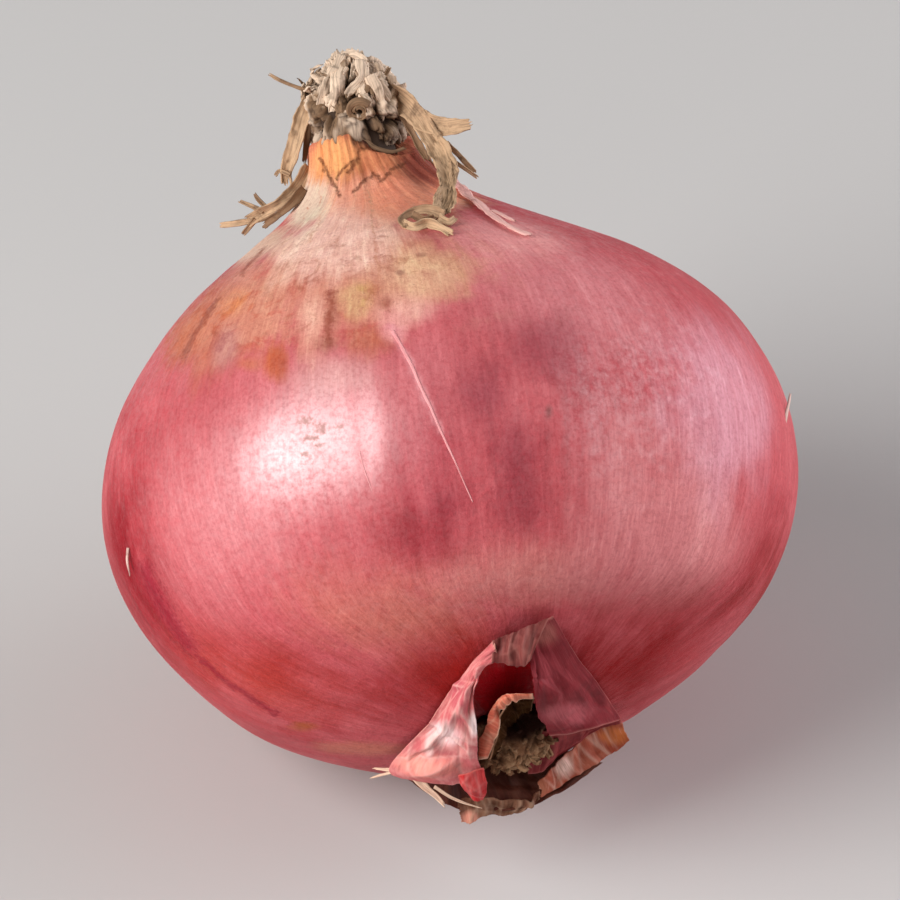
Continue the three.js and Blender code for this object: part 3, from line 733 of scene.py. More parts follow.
def bulb_skin():
    """Makes the skin, and gives its surface for what is laid on it."""
    radii, heights, run = bulb_outline()
    round_ = np.linspace(0, 2 * math.pi, BULB_COLUMNS, endpoint=False)
    radius, phi = np.meshgrid(radii, round_, indexing="ij")
    height = np.repeat(heights[:, None], BULB_COLUMNS, axis=1)
    blank = np.zeros_like(phi)
    lobes = sum(depth * np.cos(number * phi + turn) for depth, number, turn in LOBES)
    pleated = ease(height, *PLEATED) * (1 - ease(height, NECK_TOP, NECK_TOP + 1))
    pleats = PLEAT_DEPTH * pleated * (np.cos(9 * phi + 0.5) + 0.5 * np.cos(14 * phi + 2))
    ring = np.stack([np.cos(phi), np.sin(phi), blank], -1) * BULB_RADIUS
    streaks_at = ring + np.stack([blank, blank, height * WRINKLE_STRETCH], -1)
    wrinkles = wobble(streaks_at, WRINKLE_WIDTH, 3) * (WRINKLE_DEPTH + NECK_WRINKLE_DEPTH * pleated)
    facets = wobble(streaks_at, FACET_WIDTH, 2, seed=7.3) * FACET_DEPTH
    skin = 1 + lobes + (pleats + wrinkles + facets) / np.maximum(radius, 2) * np.minimum(radius / 2, 1)
    straight = np.stack([radius * skin * np.cos(phi), radius * skin * np.sin(phi), height], -1)
    straight[..., 2] += wobble(straight, SWELL_WIDTH, 2, seed=3.1) * SWELL_DEPTH
    front = world_to_front(bulb_to_world(bent(straight)))
    front += share_near(front, *HOLLOW)[..., None] * HOLLOW_PUSH
    world = front_to_world(front)
    world[..., 2] = np.maximum(world[..., 2], 0.0)
    faces = []
    for i in range(BULB_ROWS - 1):
        for j in range(BULB_COLUMNS):
            k = (j + 1) % BULB_COLUMNS
            a, b = i * BULB_COLUMNS, (i + 1) * BULB_COLUMNS
            faces.append((a + j, a + k, b + k, b + j))
    faces.append(tuple(range(BULB_COLUMNS))[::-1])
    last = (BULB_ROWS - 1) * BULB_COLUMNS
    faces.append(tuple(last + j for j in range(BULB_COLUMNS)))
    meridian = ring + np.stack([blank, blank, np.repeat(run[:, None], BULB_COLUMNS, axis=1)], -1)
    heap = Heap()
    heap.add(world, faces, {"meridian": meridian.reshape(-1, 3)})
    heap.piece("bulb_skin", bulb_skin_finish(), "bulb")
    return BVHTree.FromPolygons(world.reshape(-1, 3).tolist(), faces)


skin_surface = bulb_skin()


def laid_on_skin(points, lift):
    """Points of the worked side moved to the bulb's skin, and lifted off it by so many millimetres."""
    flat = front_to_world(points).reshape(-1, 3)
    lifts = np.broadcast_to(lift, np.shape(points)[:-1]).ravel()
    laid = []
    for point, by in zip(flat, lifts):
        at, normal, _, _ = skin_surface.find_nearest(Vector(point))
        laid.append(at + normal * (by * MM))
    return np.array(laid).reshape(np.shape(points))


# ---- Neck tuft ----
# Colours of dried leaf: light, middle and dark.
KNOT_STRAW = (rgb(0.74, 0.565, 0.42), rgb(0.26, 0.155, 0.085), rgb(0.030, 0.014, 0.007))
STRIP_STRAW = (rgb(0.55, 0.36, 0.215), rgb(0.23, 0.128, 0.068), rgb(0.035, 0.014, 0.007))
SHOULDER_TINTS = (rgb(0.80, 0.46, 0.41), rgb(0.68, 0.29, 0.28), rgb(0.34, 0.11, 0.10))
# The knot's middle and radii in the bulb's own frame.
KNOT = np.array([-4.2, -1.6, 30.5])
KNOT_RADII = np.array([3.3, 3.1, 3.9])
# How far the knot leans to one side for its height.
KNOT_LEAN = 0.15

# The knot's face as it is seen from the worked side: middle and radii, right, up and near.
KNOT_FACE = np.array([-7.3, 30.6, -3.8])
FACE_RADII = np.array([3.6, 3.5, 3.3])
# Leaves folded over it: right and up, width and how pale.
FACE_FOLDS = [
    ([(-8.9, 32.6), (-9.5, 31.4), (-9.9, 29.9), (-9.9, 28.6), (-9.5, 27.6)], 1.3, 0.75),
    ([(-8.3, 33.6), (-8.7, 32.2), (-8.8, 30.5), (-9.0, 29.0), (-8.6, 27.5)], 1.1, 1.0),
    ([(-6.9, 33.2), (-6.9, 32.0), (-7.5, 31.0), (-8.2, 30.4)], 1.0, 0.95),
    ([(-6.3, 32.0), (-5.7, 30.9), (-5.4, 29.6), (-5.7, 28.4)], 1.1, 0.7),
    ([(-5.6, 31.6), (-4.9, 30.4), (-4.6, 29.3), (-4.7, 28.5)], 0.9, 0.5),
    ([(-10.2, 31.0), (-10.7, 29.8), (-10.6, 28.2)], 0.9, 0.4),
    ([(-9.4, 27.7), (-8.2, 27.4), (-7.1, 27.5), (-6.3, 27.9)], 0.7, 0.7),
    ([(-8.6, 33.4), (-7.8, 33.8), (-7.0, 33.5), (-6.3, 32.8)], 0.8, 0.95),
]
# The leaf end rolled up in the middle of the knot's face: middle, outer and inner radius, turns.
WHORL = np.array([-7.1, 29.3]), 0.95, 0.2, 1.6
# Shreds in the hollow under the knot, painted dark as its shade: route, width and how pale.
GAP_SHREDS = [
    ([(-7.3, 27.3, -0.7), (-6.0, 26.5, 0.1), (-4.6, 26.1, 0.2), (-3.3, 26.5, -0.3)], 0.45, -0.1),
    ([(-7.2, 27.6, -1.2), (-5.8, 27.5, -1.4), (-4.4, 27.3, -1.8)], 0.4, -0.6),
]
# Strips that hang from the knot: right, up and near, with width and how pale.
STRIPS = [
    ([(-10.9, 30.6, -3.2), (-11.4, 29.4, -2.2), (-11.9, 27.7, -1.8), (-12.4, 26.0, -2.0),
      (-12.8, 24.6, -2.4), (-12.7, 23.4, -2.6)], 1.2, 1.05),
    # Painted shade: a dark strip in the gap between the first strip and the neck.
    ([(-10.7, 30.0, -3.4), (-11.0, 28.6, -3.0), (-11.2, 26.9, -2.8), (-11.4, 25.2, -2.6)], 0.5, -0.4),
    ([(-10.9, 25.0, -2.4), (-11.7, 23.6, -1.4), (-12.7, 22.5, -0.6), (-14.0, 21.7, -0.8),
      (-15.2, 21.1, -1.6), (-16.0, 20.6, -2.4)], 1.1, 0.65),
    ([(-15.6, 20.8, -2.2), (-16.9, 20.6, -2.8), (-18.1, 20.5, -3.4)], 0.5, 0.8),
    ([(-14.6, 21.5, -1.2), (-15.6, 22.0, -1.8), (-16.5, 22.4, -2.4)], 0.35, 0.5),
    ([(-15.2, 20.9, -1.8), (-15.7, 20.3, -2.2), (-16.2, 19.7, -2.6)], 0.45, 0.4),
    ([(-14.4, 21.9, -1.4), (-15.0, 22.5, -2.0), (-15.3, 23.0, -2.4)], 0.3, 0.3),
    # Painted shade: a dark strip under the forked one.
    ([(-11.3, 23.3, -0.4), (-12.3, 22.1, 0.3), (-13.5, 21.1, 0.2), (-14.8, 20.3, -0.6)], 0.8, -0.2),
    ([(-12.5, 24.4, -2.0), (-13.3, 24.7, -2.4), (-13.7, 24.3, -2.6)], 0.35, 0.5),
    ([(-10.5, 30.8, -3.0), (-12.1, 31.3, -2.6), (-13.3, 31.8, -2.4), (-14.2, 32.3, -2.4)], 0.25, 0.5),
    ([(-5.2, 30.9, -2.2), (-3.8, 30.1, -1.5), (-2.6, 28.9, -0.9), (-1.6, 27.5, -0.1), (-0.8, 26.1, 1.4),
      (-0.2, 24.7, 4.0), (-0.2, 23.1, 7.2), (-0.5, 21.6, 10.4), (-0.7, 20.6, 12.2)], 1.75, 0.7),
    ([(-3.2, 29.5, -1.3), (-2.0, 28.5, -0.6), (-0.7, 28.1, -0.2), (0.5, 28.1, 0.2),
      (1.8, 28.3, 0.4)], 1.5, 0.8),
    ([(-4.4, 29.8, -2.4), (-3.4, 28.5, -1.8), (-2.6, 27.0, -1.0), (-1.7, 25.3, 1.2)], 0.6, 0.2),
    ([(-0.5, 20.9, 12.2), (-1.8, 21.3, 11.5), (-2.9, 21.1, 11.3), (-3.7, 20.5, 12.3),
      (-3.3, 19.9, 13.5)], 0.7, 0.5),
    ([(-3.6, 20.2, 13.0), (-2.7, 19.9, 13.8), (-1.7, 20.2, 13.5), (-0.6, 19.8, 14.3),
      (0.2, 19.3, 15.1)], 0.75, 0.95),
    ([(-2.9, 20.9, 12.2), (-2.0, 20.5, 12.9), (-1.2, 20.7, 12.8)], 0.5, 0.0),
    ([(-0.9, 20.7, 12.5), (-0.1, 20.3, 13.4), (0.5, 20.7, 12.7)], 0.6, 0.8),
    ([(-0.3, 26.8, 0.6), (0.7, 25.8, 1.2), (1.4, 25.0, 1.6), (2.0, 24.4, 1.8)], 0.4, 0.5),
    ([(0.3, 25.3, 2.0), (1.2, 24.7, 2.2), (2.2, 24.0, 2.2)], 0.28, 0.6),
    ([(-5.9, 31.4, -2.6), (-5.1, 32.2, -2.8), (-4.7, 32.9, -3.0)], 0.35, 0.6),
]
# Pale strips that lie down the shoulder: right, up and near, with width; and how far off the skin.
SHOULDER_LIFT = 0.24
SHOULDER_STRIPS = [
    ([(0.2, 25.0, 1.0), (0.8, 23.8, 2.6), (1.6, 22.5, 5.2), (2.7, 21.2, 9.0), (3.9, 20.2, 11.8),
      (5.2, 19.5, 13.4), (6.5, 19.1, 13.9)], 1.0),
    ([(3.3, 21.2, 9.0), (4.2, 20.7, 10.5), (5.0, 20.4, 11.4)], 0.5),
]
# Strips that hang on the far side, in the bulb's own frame, with width and how pale.
BACK_STRIPS = [
    ([(-5, 0.4, 32), (-5.8, 2.4, 31), (-6.2, 3.9, 28.6), (-6.8, 4.7, 26), (-8.2, 5.6, 24)], 1.8, 0.6),
    ([(-2.6, 0.4, 32), (-1, 2.2, 31), (0.6, 3.4, 28.8), (1.7, 3.8, 26.8), (3, 4.9, 25)], 1.6, 0.5),
]


WAD_COLUMNS = 230
WAD_ROWS = 130
# How the knot's face gives way round the hollow, right, up and near.
FACE_PUSH = np.array([0.0, 0.7, -2.4])


def crumpled_wad(heap, centre, radii, seed, upright, to_world):
    """A wad of folded leaf, with painted shade in its creases, towards its underside and round the
    hollow under the knot; the creases run along its upright axis (1 or 2).
    """
    phi, theta = np.meshgrid(
        np.linspace(0, 2 * math.pi, WAD_COLUMNS, endpoint=False),
        np.linspace(0.03, math.pi - 0.03, WAD_ROWS),
    )
    height = np.cos(theta)
    first, second = np.sin(theta) * np.cos(phi), np.sin(theta) * np.sin(phi)
    ball = np.stack([first, second, height] if upright == 2 else [first, height, -second], -1)
    square = 2 + 1.3 * ease(-height, -0.1, 0.6)
    boxed = ball / (np.abs(ball) ** square[..., None]).sum(-1)[..., None] ** (1 / square[..., None])
    stray = np.stack([wobble(ball, 0.8, 2, seed + k) for k in (3, 5, 8)], -1)
    stretch = np.full(3, 1.7)
    stretch[upright] = 0.7
    warped = (ball + 0.28 * stray) * stretch
    folds = np.abs(wobble(warped, 0.62, 3, seed))
    fine = np.abs(wobble(warped * 3.1, 0.62, 2, seed + 11))
    size = 0.84 + 0.12 * wobble(ball, 0.8, 2, seed + 1) + 0.75 * np.minimum(folds, 0.34) + 0.12 * fine
    boxed = boxed * size[..., None]
    boxed[..., [0, 3 - upright]] *= 1 - 0.26 * ease(boxed[..., upright, None], -0.1, 0.7)
    boxed[..., 0] -= 0.10 * boxed[..., upright]
    grid = boxed * radii + centre
    fold = np.clip(1.5 - 8.0 * folds, 0, 1) + 0.6 * np.clip(1.1 - 8 * fine, 0, 1)
    # Painted shade round the hollow under the knot.
    if upright == 1:
        hollow = share_near(grid, *HOLLOW)
        grid += hollow[..., None] * FACE_PUSH
        fold = fold + hollow
    tone = 0.50 + 1.8 * (folds - 0.2) + 1.2 * wobble(ball, 0.5, 2, seed + 2) + 0.70 * height
    # Painted shade towards the wad's underside.
    fold = fold + 0.45 * ease(-height, 0.0, 0.8)
    closed_lump(heap, grid, to_world, strip=ball * 4, tone=tone, fold=np.clip(fold, 0, 1))


STEM_FOOT = 26.2
STEM_HEIGHT = 3.6
STEM_RADIUS = 3.3
STEM_WAIST = 0.4


def stem_core(heap):
    """The stem between the neck and the knot, painted dark as the shade under the knot."""
    phi, fall = np.meshgrid(np.linspace(0, 2 * math.pi, 80, endpoint=False), np.linspace(1, 0, 14))
    flutes = 0.05 * wobble(np.stack([np.cos(phi) * 3, np.sin(phi) * 3, fall], -1), 0.9, 3, seed=6.1)
    radius = (STEM_RADIUS - STEM_WAIST * np.sin(math.pi * fall)) * (1 + flutes)
    x = NECK_SHIFT[0] + radius * np.cos(phi)
    y = NECK_SHIFT[1] + radius * np.sin(phi)
    points = np.stack([x, y, STEM_FOOT + STEM_HEIGHT * fall], -1)
    blank = np.zeros_like(phi)
    closed_lump(
        heap, points, bulb_to_world, strip=np.stack([phi * 3, fall * 3, blank], -1), tone=blank - 0.5,
        fold=blank + 0.95,
    )


# The least cosine, from straight ahead, of what counts as the knot's face.
FACE_COSINE = 0.35


def faces_front(phi):
    """Whether a turn round the knot looks to the worked side, where the leaves are laid one by one."""
    return math.cos(phi + math.pi / 2) > FACE_COSINE


def on_knot(phi, height, lift):
    """A point on the knot, by its turn round and its height from -1 to 1; lift 1 is its surface."""
    waist = math.sqrt(max(0.0, 1 - height * height))
    point = np.array([waist * math.cos(phi), waist * math.sin(phi), height]) * lift
    point[0] -= KNOT_LEAN * point[2]
    return point * KNOT_RADII + KNOT


FOLDED_LEAVES = 46
WOUND_LEAVES = 20


def knot_leaves(heap, draw):
    """Leaf ends folded up over the knot, and others wound round its foot."""
    for i in range(FOLDED_LEAVES):
        phi = i * GOLDEN_ANGLE + draw.uniform(-0.2, 0.2)
        start = draw.uniform(-0.55, 0.25)
        rise = draw.uniform(0.5, 1.1)
        swing = draw.uniform(-0.5, 0.5)
        if faces_front(phi):
            continue
        points = []
        for t in np.linspace(0, 1, 6):
            lift = draw.uniform(0.92, 1.03) + 0.05 * t * (1 - t)
            points.append(on_knot(phi + swing * t, min(start + rise * t, 0.93), lift))
        facing = unit((points[3] - KNOT) / KNOT_RADII) + [draw.uniform(-0.7, 0.7) for _ in range(3)]
        add_ribbon(
            heap, points, draw.uniform(0.9, 1.9), draw, facing=facing, taper=draw.uniform(0.5, 0.9),
            curl=draw.uniform(0.1, 0.35), twist=0.6, ragged=0.3, ripple=0.20,
            tone=draw.uniform(0.3, 1.0),
        )
    for _ in range(WOUND_LEAVES):
        phi = draw.uniform(0, 2 * math.pi)
        height = draw.uniform(-0.7, 0.05)
        sweep = draw.uniform(0.9, 1.8) * draw.choice([-1, 1])
        lean = draw.uniform(-0.25, 0.35)
        points = [
            on_knot(phi + sweep * t, height + lean * t, draw.uniform(0.94, 1.06))
            for t in np.linspace(0, 1, 6)
        ]
        if any(faces_front(phi + sweep * t) for t in (0, 0.5, 1)):
            continue
        facing = unit((points[3] - KNOT) / KNOT_RADII) + [0, 0, draw.uniform(-0.5, 0.8)]
        # The wound leaves get a little painted shade at the knot's foot, through fold.
        add_ribbon(
            heap, points, draw.uniform(0.7, 1.3), draw, facing=facing, taper=0.7, curl=0.25, twist=0.4,
            ragged=0.3, ripple=0.15, tone=draw.uniform(-0.1, 0.5), fold=0.12, steps=28, across=10,
        )


def on_face(flat, lift):
    """Points right and up moved to the face of the knot."""
    inside = 1 - (((flat - KNOT_FACE[:2]) / FACE_RADII[:2]) ** 2).sum(-1)
    depth = KNOT_FACE[2] + FACE_RADII[2] * np.sqrt(np.clip(inside, 0.02, 1)) + lift
    return np.concatenate([flat, depth[..., None]], -1)


FACE_FLAKES = 26
# How near to the rolled leaf's middle, and to the hollow's, no flake starts.
FLAKE_GAP = 1.7


def face_leaves(heap, draw):
    """Leaves folded over the knot's face, the rolled one in its middle, and flakes that lift off it."""
    middle, outer, inner, turns = WHORL
    angle = np.linspace(0.6, 0.6 + turns * 2 * math.pi, 22)
    reach = np.linspace(outer, inner, 22)
    whorl = middle + np.stack([reach * np.cos(angle), reach * np.sin(angle) * 0.85], -1)
    for route, width, tone in [*FACE_FOLDS, (whorl, 0.55, -0.15)]:
        rolled = tone < 0
        laid = on_face(smooth_route(route, LAID_POINTS), 0.65 if rolled else 0.05)
        # The rolled leaf stands higher and gets painted shade in its coils, through fold.
        add_ribbon(
            heap, laid, width, draw, facing=(0.2, 0, 1), tone=tone, steps=60 if rolled else 36,
            across=13, curl=0.22, ripple=0.17, thickness=0.09, taper=0.75, twist=0.45, ragged=0.2,
            fold=0.20 if rolled else 0.0, to_world=front_to_world,
        )
    for _ in range(FACE_FLAKES):
        turn = draw.uniform(0, 2 * math.pi)
        out = 0.97 * math.sqrt(draw.random())
        start = KNOT_FACE[:2] + FACE_RADII[:2] * out * np.array([math.cos(turn), math.sin(turn)])
        lean = draw.uniform(-0.9, 0.9)
        length = draw.uniform(0.6, 1.9)
        if min(np.linalg.norm(start - middle), np.linalg.norm(start - HOLLOW[0][:2])) < FLAKE_GAP:
            continue
        run = np.linspace(0, 1, 5)[:, None] * np.array([math.sin(lean), -math.cos(lean)]) * length
        lift = np.linspace(-0.1, draw.uniform(0.1, 0.45), 5)
        # Flakes low on the face get painted shade, through fold.
        add_ribbon(
            heap, on_face(start + run, lift), draw.uniform(0.3, 0.8), draw, facing=(0.2, 0, 1),
            tone=draw.uniform(0.1, 1.0), fold=0.0 if start[1] > KNOT_FACE[1] - 1 else 0.35, steps=16,
            across=8, curl=0.2, ripple=0.22, thickness=0.08, twist=0.7, ragged=0.4,
            to_world=front_to_world,
        )


STRAY_ENDS = 34


def stray_leaf_ends(heap, draw):
    """Short ends that stand out of the knot all round; the lower ones droop over the neck."""
    for i in range(STRAY_ENDS):
        phi = i * GOLDEN_ANGLE
        height = -0.85 + 1.45 * (i + 0.5) / STRAY_ENDS + draw.uniform(-0.1, 0.1)
        if faces_front(phi) and height < 0.3:
            continue
        reach = draw.uniform(1.02, 1.22)
        droop = draw.uniform(1.2, 2.4) if height < 0 else draw.uniform(-0.4, 0.6)
        start = on_knot(phi, height, 0.75)
        middle = on_knot(phi + draw.uniform(-0.2, 0.2), height, reach)
        end = on_knot(phi + draw.uniform(-0.6, 0.6), height, reach * 1.12) - [0, 0, droop]
        facing = (-math.sin(phi), math.cos(phi), 0.4)
        add_ribbon(
            heap, [start, middle, end], draw.uniform(0.25, 1.0), draw, facing=facing, thickness=0.11,
            taper=0.4, curl=0.3, ragged=0.4, ripple=0.2, steps=16, across=7,
        )


def neck_tuft():
    """The knot on the neck, the strips that hang from it and its stray ends."""
    draw = random.Random(41)
    straw = leaf_finish("dry_leaf", *KNOT_STRAW)
    strip_straw = leaf_finish("dry_leaf_strip", *STRIP_STRAW)
    wad = Heap()
    crumpled_wad(wad, KNOT, KNOT_RADII, 4.2, 2, bulb_to_world)
    crumpled_wad(wad, KNOT_FACE, FACE_RADII * 0.97, 8.6, 1, front_to_world)
    stem_core(wad)
    knot_leaves(wad, draw)
    face_leaves(wad, draw)
    # Painted shade on the shreds in the hollow, through their fold mark.
    for route, width, tone in GAP_SHREDS:
        add_ribbon(
            wad, route, width, draw, facing=(0, 0.4, 1), tone=tone, steps=26, across=9, curl=0.3,
            ripple=0.15, thickness=0.10, fold=0.5 if tone < 0 else 0.1, to_world=front_to_world,
        )
    wad.piece("tuft_knot", straw, "neck_tuft")
    strips = Heap()
    for route, width, tone in STRIPS:
        add_ribbon(
            strips, route, width, draw, facing=(0, 0, 1), tone=tone, steps=14 * len(route), across=15,
            curl=-0.20, ripple=0.08, grain=0.022, thickness=0.10, taper=0.75, twist=0.28, ragged=0.1,
            to_world=front_to_world,
        )
    for route, width, tone in BACK_STRIPS:
        add_ribbon(strips, route, width, draw, facing=(0, 1, 0), tone=tone, steps=12 * len(route))
    strips.piece("tuft_strips", strip_straw)
    shoulder = Heap()
    for route, width in SHOULDER_STRIPS:
        laid = world_to_front(laid_on_skin(smooth_route(route, LAID_POINTS), SHOULDER_LIFT))
        add_ribbon(
            shoulder, laid, width, draw, facing=(0.3, 0.8, 0.6), tone=0.8, steps=14 * len(route),
            across=9, curl=0.10, thickness=0.08, taper=0.4, twist=0.06, ripple=0.03,
            to_world=front_to_world,
        )
    finish = leaf_finish("shoulder_strip", *SHOULDER_TINTS)
    shoulder.piece("shoulder_strips", finish)
    ends = Heap()
    stray_leaf_ends(ends, draw)
    ends.piece("tuft_leaf_ends", straw)


neck_tuft()


# ---- Root plate ----
PLATE_COLUMNS = 90
PLATE_ROWS = 40
# The plate's outer face: the height of its middle, and how much it falls off with the radius squared.
PLATE_TOP = -23.6
PLATE_DOME = 0.13
# Radius and height round the plate's edge and back to its middle, inside the bulb.
PLATE_EDGE = (4.2, -21.2), (4.1, -20.8), (3.7, -20.5), (0.02, -20.2)
# Crumbs and cracks: how wide, how high or deep, and the height above which there are no cracks.
CRUMB_WIDTH, CRUMB_HEIGHT = 1.1, 0.45
CRACK_SPACING, CRACK_EDGE, CRACK_DEPTH = 1.6, 0.12, 0.5
CRACKED_BELOW = -21.3
ROOT_STUBS = 44
STUB_SPREAD = 3.9


def root_plate():
    """The crumbly disc at the root end and the stubs of its dried roots."""
    draw = random.Random(5)
    dome = [(r, PLATE_TOP + PLATE_DOME * r * r) for r in np.linspace(0.3, 3.8, 24)]
    radii, heights, _ = spaced_evenly(np.array([(0.02, PLATE_TOP), *dome, *PLATE_EDGE]), PLATE_ROWS)
    phi = np.linspace(0, 2 * math.pi, PLATE_COLUMNS, endpoint=False)
    r, p = np.meshgrid(radii, phi, indexing="ij")
    z = np.repeat(heights[:, None], PLATE_COLUMNS, axis=1)
    points = np.stack([r * np.cos(p), r * np.sin(p), z], -1)
    rough = wobble(points, CRUMB_WIDTH, 4, seed=2.0)
    crack = np.abs(wobble(points, CRACK_SPACING, 2, seed=9.0))
    sunk = CRACK_DEPTH * np.clip(CRACK_EDGE - crack, 0, 1) / CRACK_EDGE * (z < CRACKED_BELOW)
    push = CRUMB_HEIGHT * rough - sunk
    points[..., 2] -= push * np.minimum(r, 1)
    points[..., :2] *= (1 + 0.05 * rough)[..., None]
    crust = Heap()
    closed_lump(
        crust, points, root_to_world, strip=points, fold=np.clip(1 - crack / 0.09, 0, 1) * 0.8)
    crust.piece("root_plate_crust", root_finish(), "root_plate")
    stubs = Heap()
    for i in range(ROOT_STUBS):
        phi = i * GOLDEN_ANGLE
        reach = STUB_SPREAD * math.sqrt((i + 0.5) / ROOT_STUBS)
        surface = PLATE_TOP + PLATE_DOME * reach * reach
        out = np.array([math.cos(phi), math.sin(phi), 0])
        length = draw.uniform(0.2, 0.7)
        bend = np.array([draw.uniform(-0.5, 0.5), draw.uniform(-0.5, 0.5), 0])
        route = [
            out * reach * 0.95 + [0, 0, surface + 0.5], out * reach + [0, 0, surface - 0.2],
            out * (reach + 0.2) + bend + [0, 0, surface - length],
        ]
        add_ribbon(
            stubs, route, draw.uniform(0.3, 0.6), draw, facing=(-out[1], out[0], 0.2), thickness=0.28,
            taper=0.6, curl=0.4, ragged=0.4, steps=8, across=5, to_world=root_to_world,
        )
    stubs.piece("root_stubs", root_finish())


root_plate()


# ---- Torn skin ----
PANEL_THICKNESS = 0.10


def add_panel(heap, rows, seed, crumple, folds, across=44, along=44, ragged=(0, 0, 0, 0), trim=1.5):
    """A torn piece of skin through rows of points right, up and near, in millimetres.

    crumple is how deep its folds are, across and along how many points its mesh has each way.
    ragged says how far the first row, last row, first column and last column are torn back,
    and trim how many faces wide its paler edge is: partly its own colour, partly a painted highlight.
    """
    net = np.asarray(rows, float)
    shift = np.array([seed * 3.7, seed * 1.3, seed * 5.1])
    u = np.linspace(0, 1, along)[:, None] * np.ones((1, across))
    v = np.linspace(0, 1, across)[None, :] * np.ones((along, 1))

    def tear(at, key):
        return 0.5 + 0.5 * wobble(np.stack([at * 9, at * 0 + key, at * 0], -1) + shift, 1.0, 4)

    first, last, left, right = ragged
    u = first * tear(v, 1) * (1 - u) + u * (1 - last * tear(v, 2))
    v = left * tear(u, 3) * (1 - v) + v * (1 - right * tear(u, 4))
    fine = smooth_route(net, NET_SAMPLES)
    fine = np.swapaxes(smooth_route(np.swapaxes(fine, 0, 1), NET_SAMPLES), 0, 1)
    a = np.clip(u, 0, 1) * (NET_SAMPLES - 1.001)
    b = np.clip(v, 0, 1) * (NET_SAMPLES - 1.001)
    i, j = a.astype(int), b.astype(int)
    s, t = (a - i)[..., None], (b - j)[..., None]
    grid = (
        fine[i, j] * (1 - s) * (1 - t) + fine[i + 1, j] * s * (1 - t)
        + fine[i, j + 1] * (1 - s) * t + fine[i + 1, j + 1] * s * t
    )
    length = np.linalg.norm(np.diff(net, axis=0), axis=-1).sum(0).mean()
    width = np.linalg.norm(np.diff(net, axis=1), axis=-1).sum(1).mean()
    strip = np.stack([v * width, u * length, np.full_like(u, seed * 10.0)], -1)
    draw = random.Random(seed)
    push = crumple * 0.45 * wobble(strip * [1.0, 0.3, 1.0], 1.3, 2)
    push += crumple * 0.8 * wobble(strip, 3.2, 1)
    crease = np.zeros_like(u)
    for _ in range(folds):
        angle = draw.choice([0.15, 2.9, draw.uniform(0, math.pi)]) + draw.uniform(-0.25, 0.25)
        middle = draw.uniform(0.15, 0.85) * width, draw.uniform(0.15, 0.85) * length
        x, y = strip[..., 0] - middle[0], strip[..., 1] - middle[1]
        across_fold = x * math.cos(angle) + y * math.sin(angle)
        along_fold = y * math.cos(angle) - x * math.sin(angle)
        reach = np.exp(-(along_fold / draw.uniform(0.8, 2.4)) ** 2)
        height = draw.choice([-0.7, 1]) * draw.uniform(0.4, 1.3) * crumple
        push += height * reach * np.clip(1 - np.abs(across_fold) / draw.uniform(0.35, 0.9), 0, 1)
        # The crease mark is a painted highlight along each fold.
        crease += reach * np.exp(-(across_fold / 0.10) ** 2) * draw.uniform(0.3, 1.0)
    grid = grid + grid_normals(grid) * push[..., None]
    near_edge = np.minimum(np.minimum(u, 1 - u) * along, np.minimum(v, 1 - v) * across)
    edge = np.clip(1 - near_edge / trim, 0, 1)
    crease = np.clip(crease, 0, 1)
    add_sheet(heap, front_to_world(grid), PANEL_THICKNESS * MM, strip=strip, crease=crease, edge=edge)


# The panels round the root plate, right, up and near: rows from the bulb outwards or from the top down.
LEFT_PANEL = [
    [(3.3, -11.4, 20.5), (3.5, -12.0, 20.3), (3.5, -12.6, 20.1), (3.3, -13.2, 19.9)],
    [(1.5, -13.4, 18.8), (1.9, -13.4, 19.4), (2.3, -13.5, 19.8), (2.6, -13.6, 19.9)],
    [(0.3, -14.8, 17.3), (0.9, -15.0, 18.1), (1.4, -15.1, 18.7), (1.8, -15.2, 18.9)],
    [(-0.8, -16.5, 15.5), (0.1, -16.7, 16.4), (1.1, -16.7, 17.2), (1.9, -16.8, 17.0)],
    [(-1.8, -18.1, 13.1), (-0.5, -18.5, 14.0), (0.9, -18.7, 14.6), (2.2, -18.8, 14.4)],
    [(-3.4, -19.8, 10.0), (-1.7, -20.0, 11.2), (0.5, -20.4, 12.0), (2.2, -20.5, 12.0)],
    [(-4.7, -21.4, 7.9), (-2.7, -21.6, 8.8), (0.1, -21.9, 9.6), (2.5, -21.9, 10.0)],
    [(-4.5, -22.1, 7.1), (-2.2, -22.7, 7.6), (0.2, -23.0, 8.2), (1.4, -22.9, 8.8)],
]
TOP_PANEL = [
    [(3.2, -11.4, 20.5), (4.1, -11.0, 20.8), (5.1, -10.6, 21.2), (6.4, -10.0, 21.9), (7.5, -9.6, 21.8)],
    [(3.2, -12.2, 20.3), (4.1, -12.0, 20.5), (4.9, -11.8, 20.9), (6.0, -11.4, 21.7), (6.9, -10.9, 21.8)],
    [(3.1, -13.2, 20.0), (4.1, -13.3, 20.0), (4.9, -13.6, 20.0), (5.6, -13.6, 20.9), (6.1, -12.7, 21.3)],
]
RIGHT_PANEL = [
    [(7.8, -9.6, 20.9), (6.9, -10.0, 21.5), (6.2, -10.8, 21.5), (5.9, -11.6, 21.0)],
    [(8.7, -11.2, 18.8), (7.5, -11.6, 20.0), (6.5, -12.2, 20.6), (5.8, -12.8, 20.4)],
    [(9.9, -13.1, 16.0), (8.5, -13.4, 17.9), (7.1, -13.9, 19.2), (5.9, -14.2, 19.8)],
    [(11.2, -14.7, 12.9), (9.6, -15.2, 15.4), (7.7, -15.6, 17.5), (6.1, -15.8, 18.0)],
    [(12.5, -16.7, 8.1), (10.6, -17.0, 11.4), (8.4, -17.4, 14.0), (6.5, -17.7, 14.8)],
    [(13.3, -17.9, 5.5), (11.5, -18.3, 9.5), (9.4, -18.8, 11.5), (7.3, -19.0, 12.5)],
]
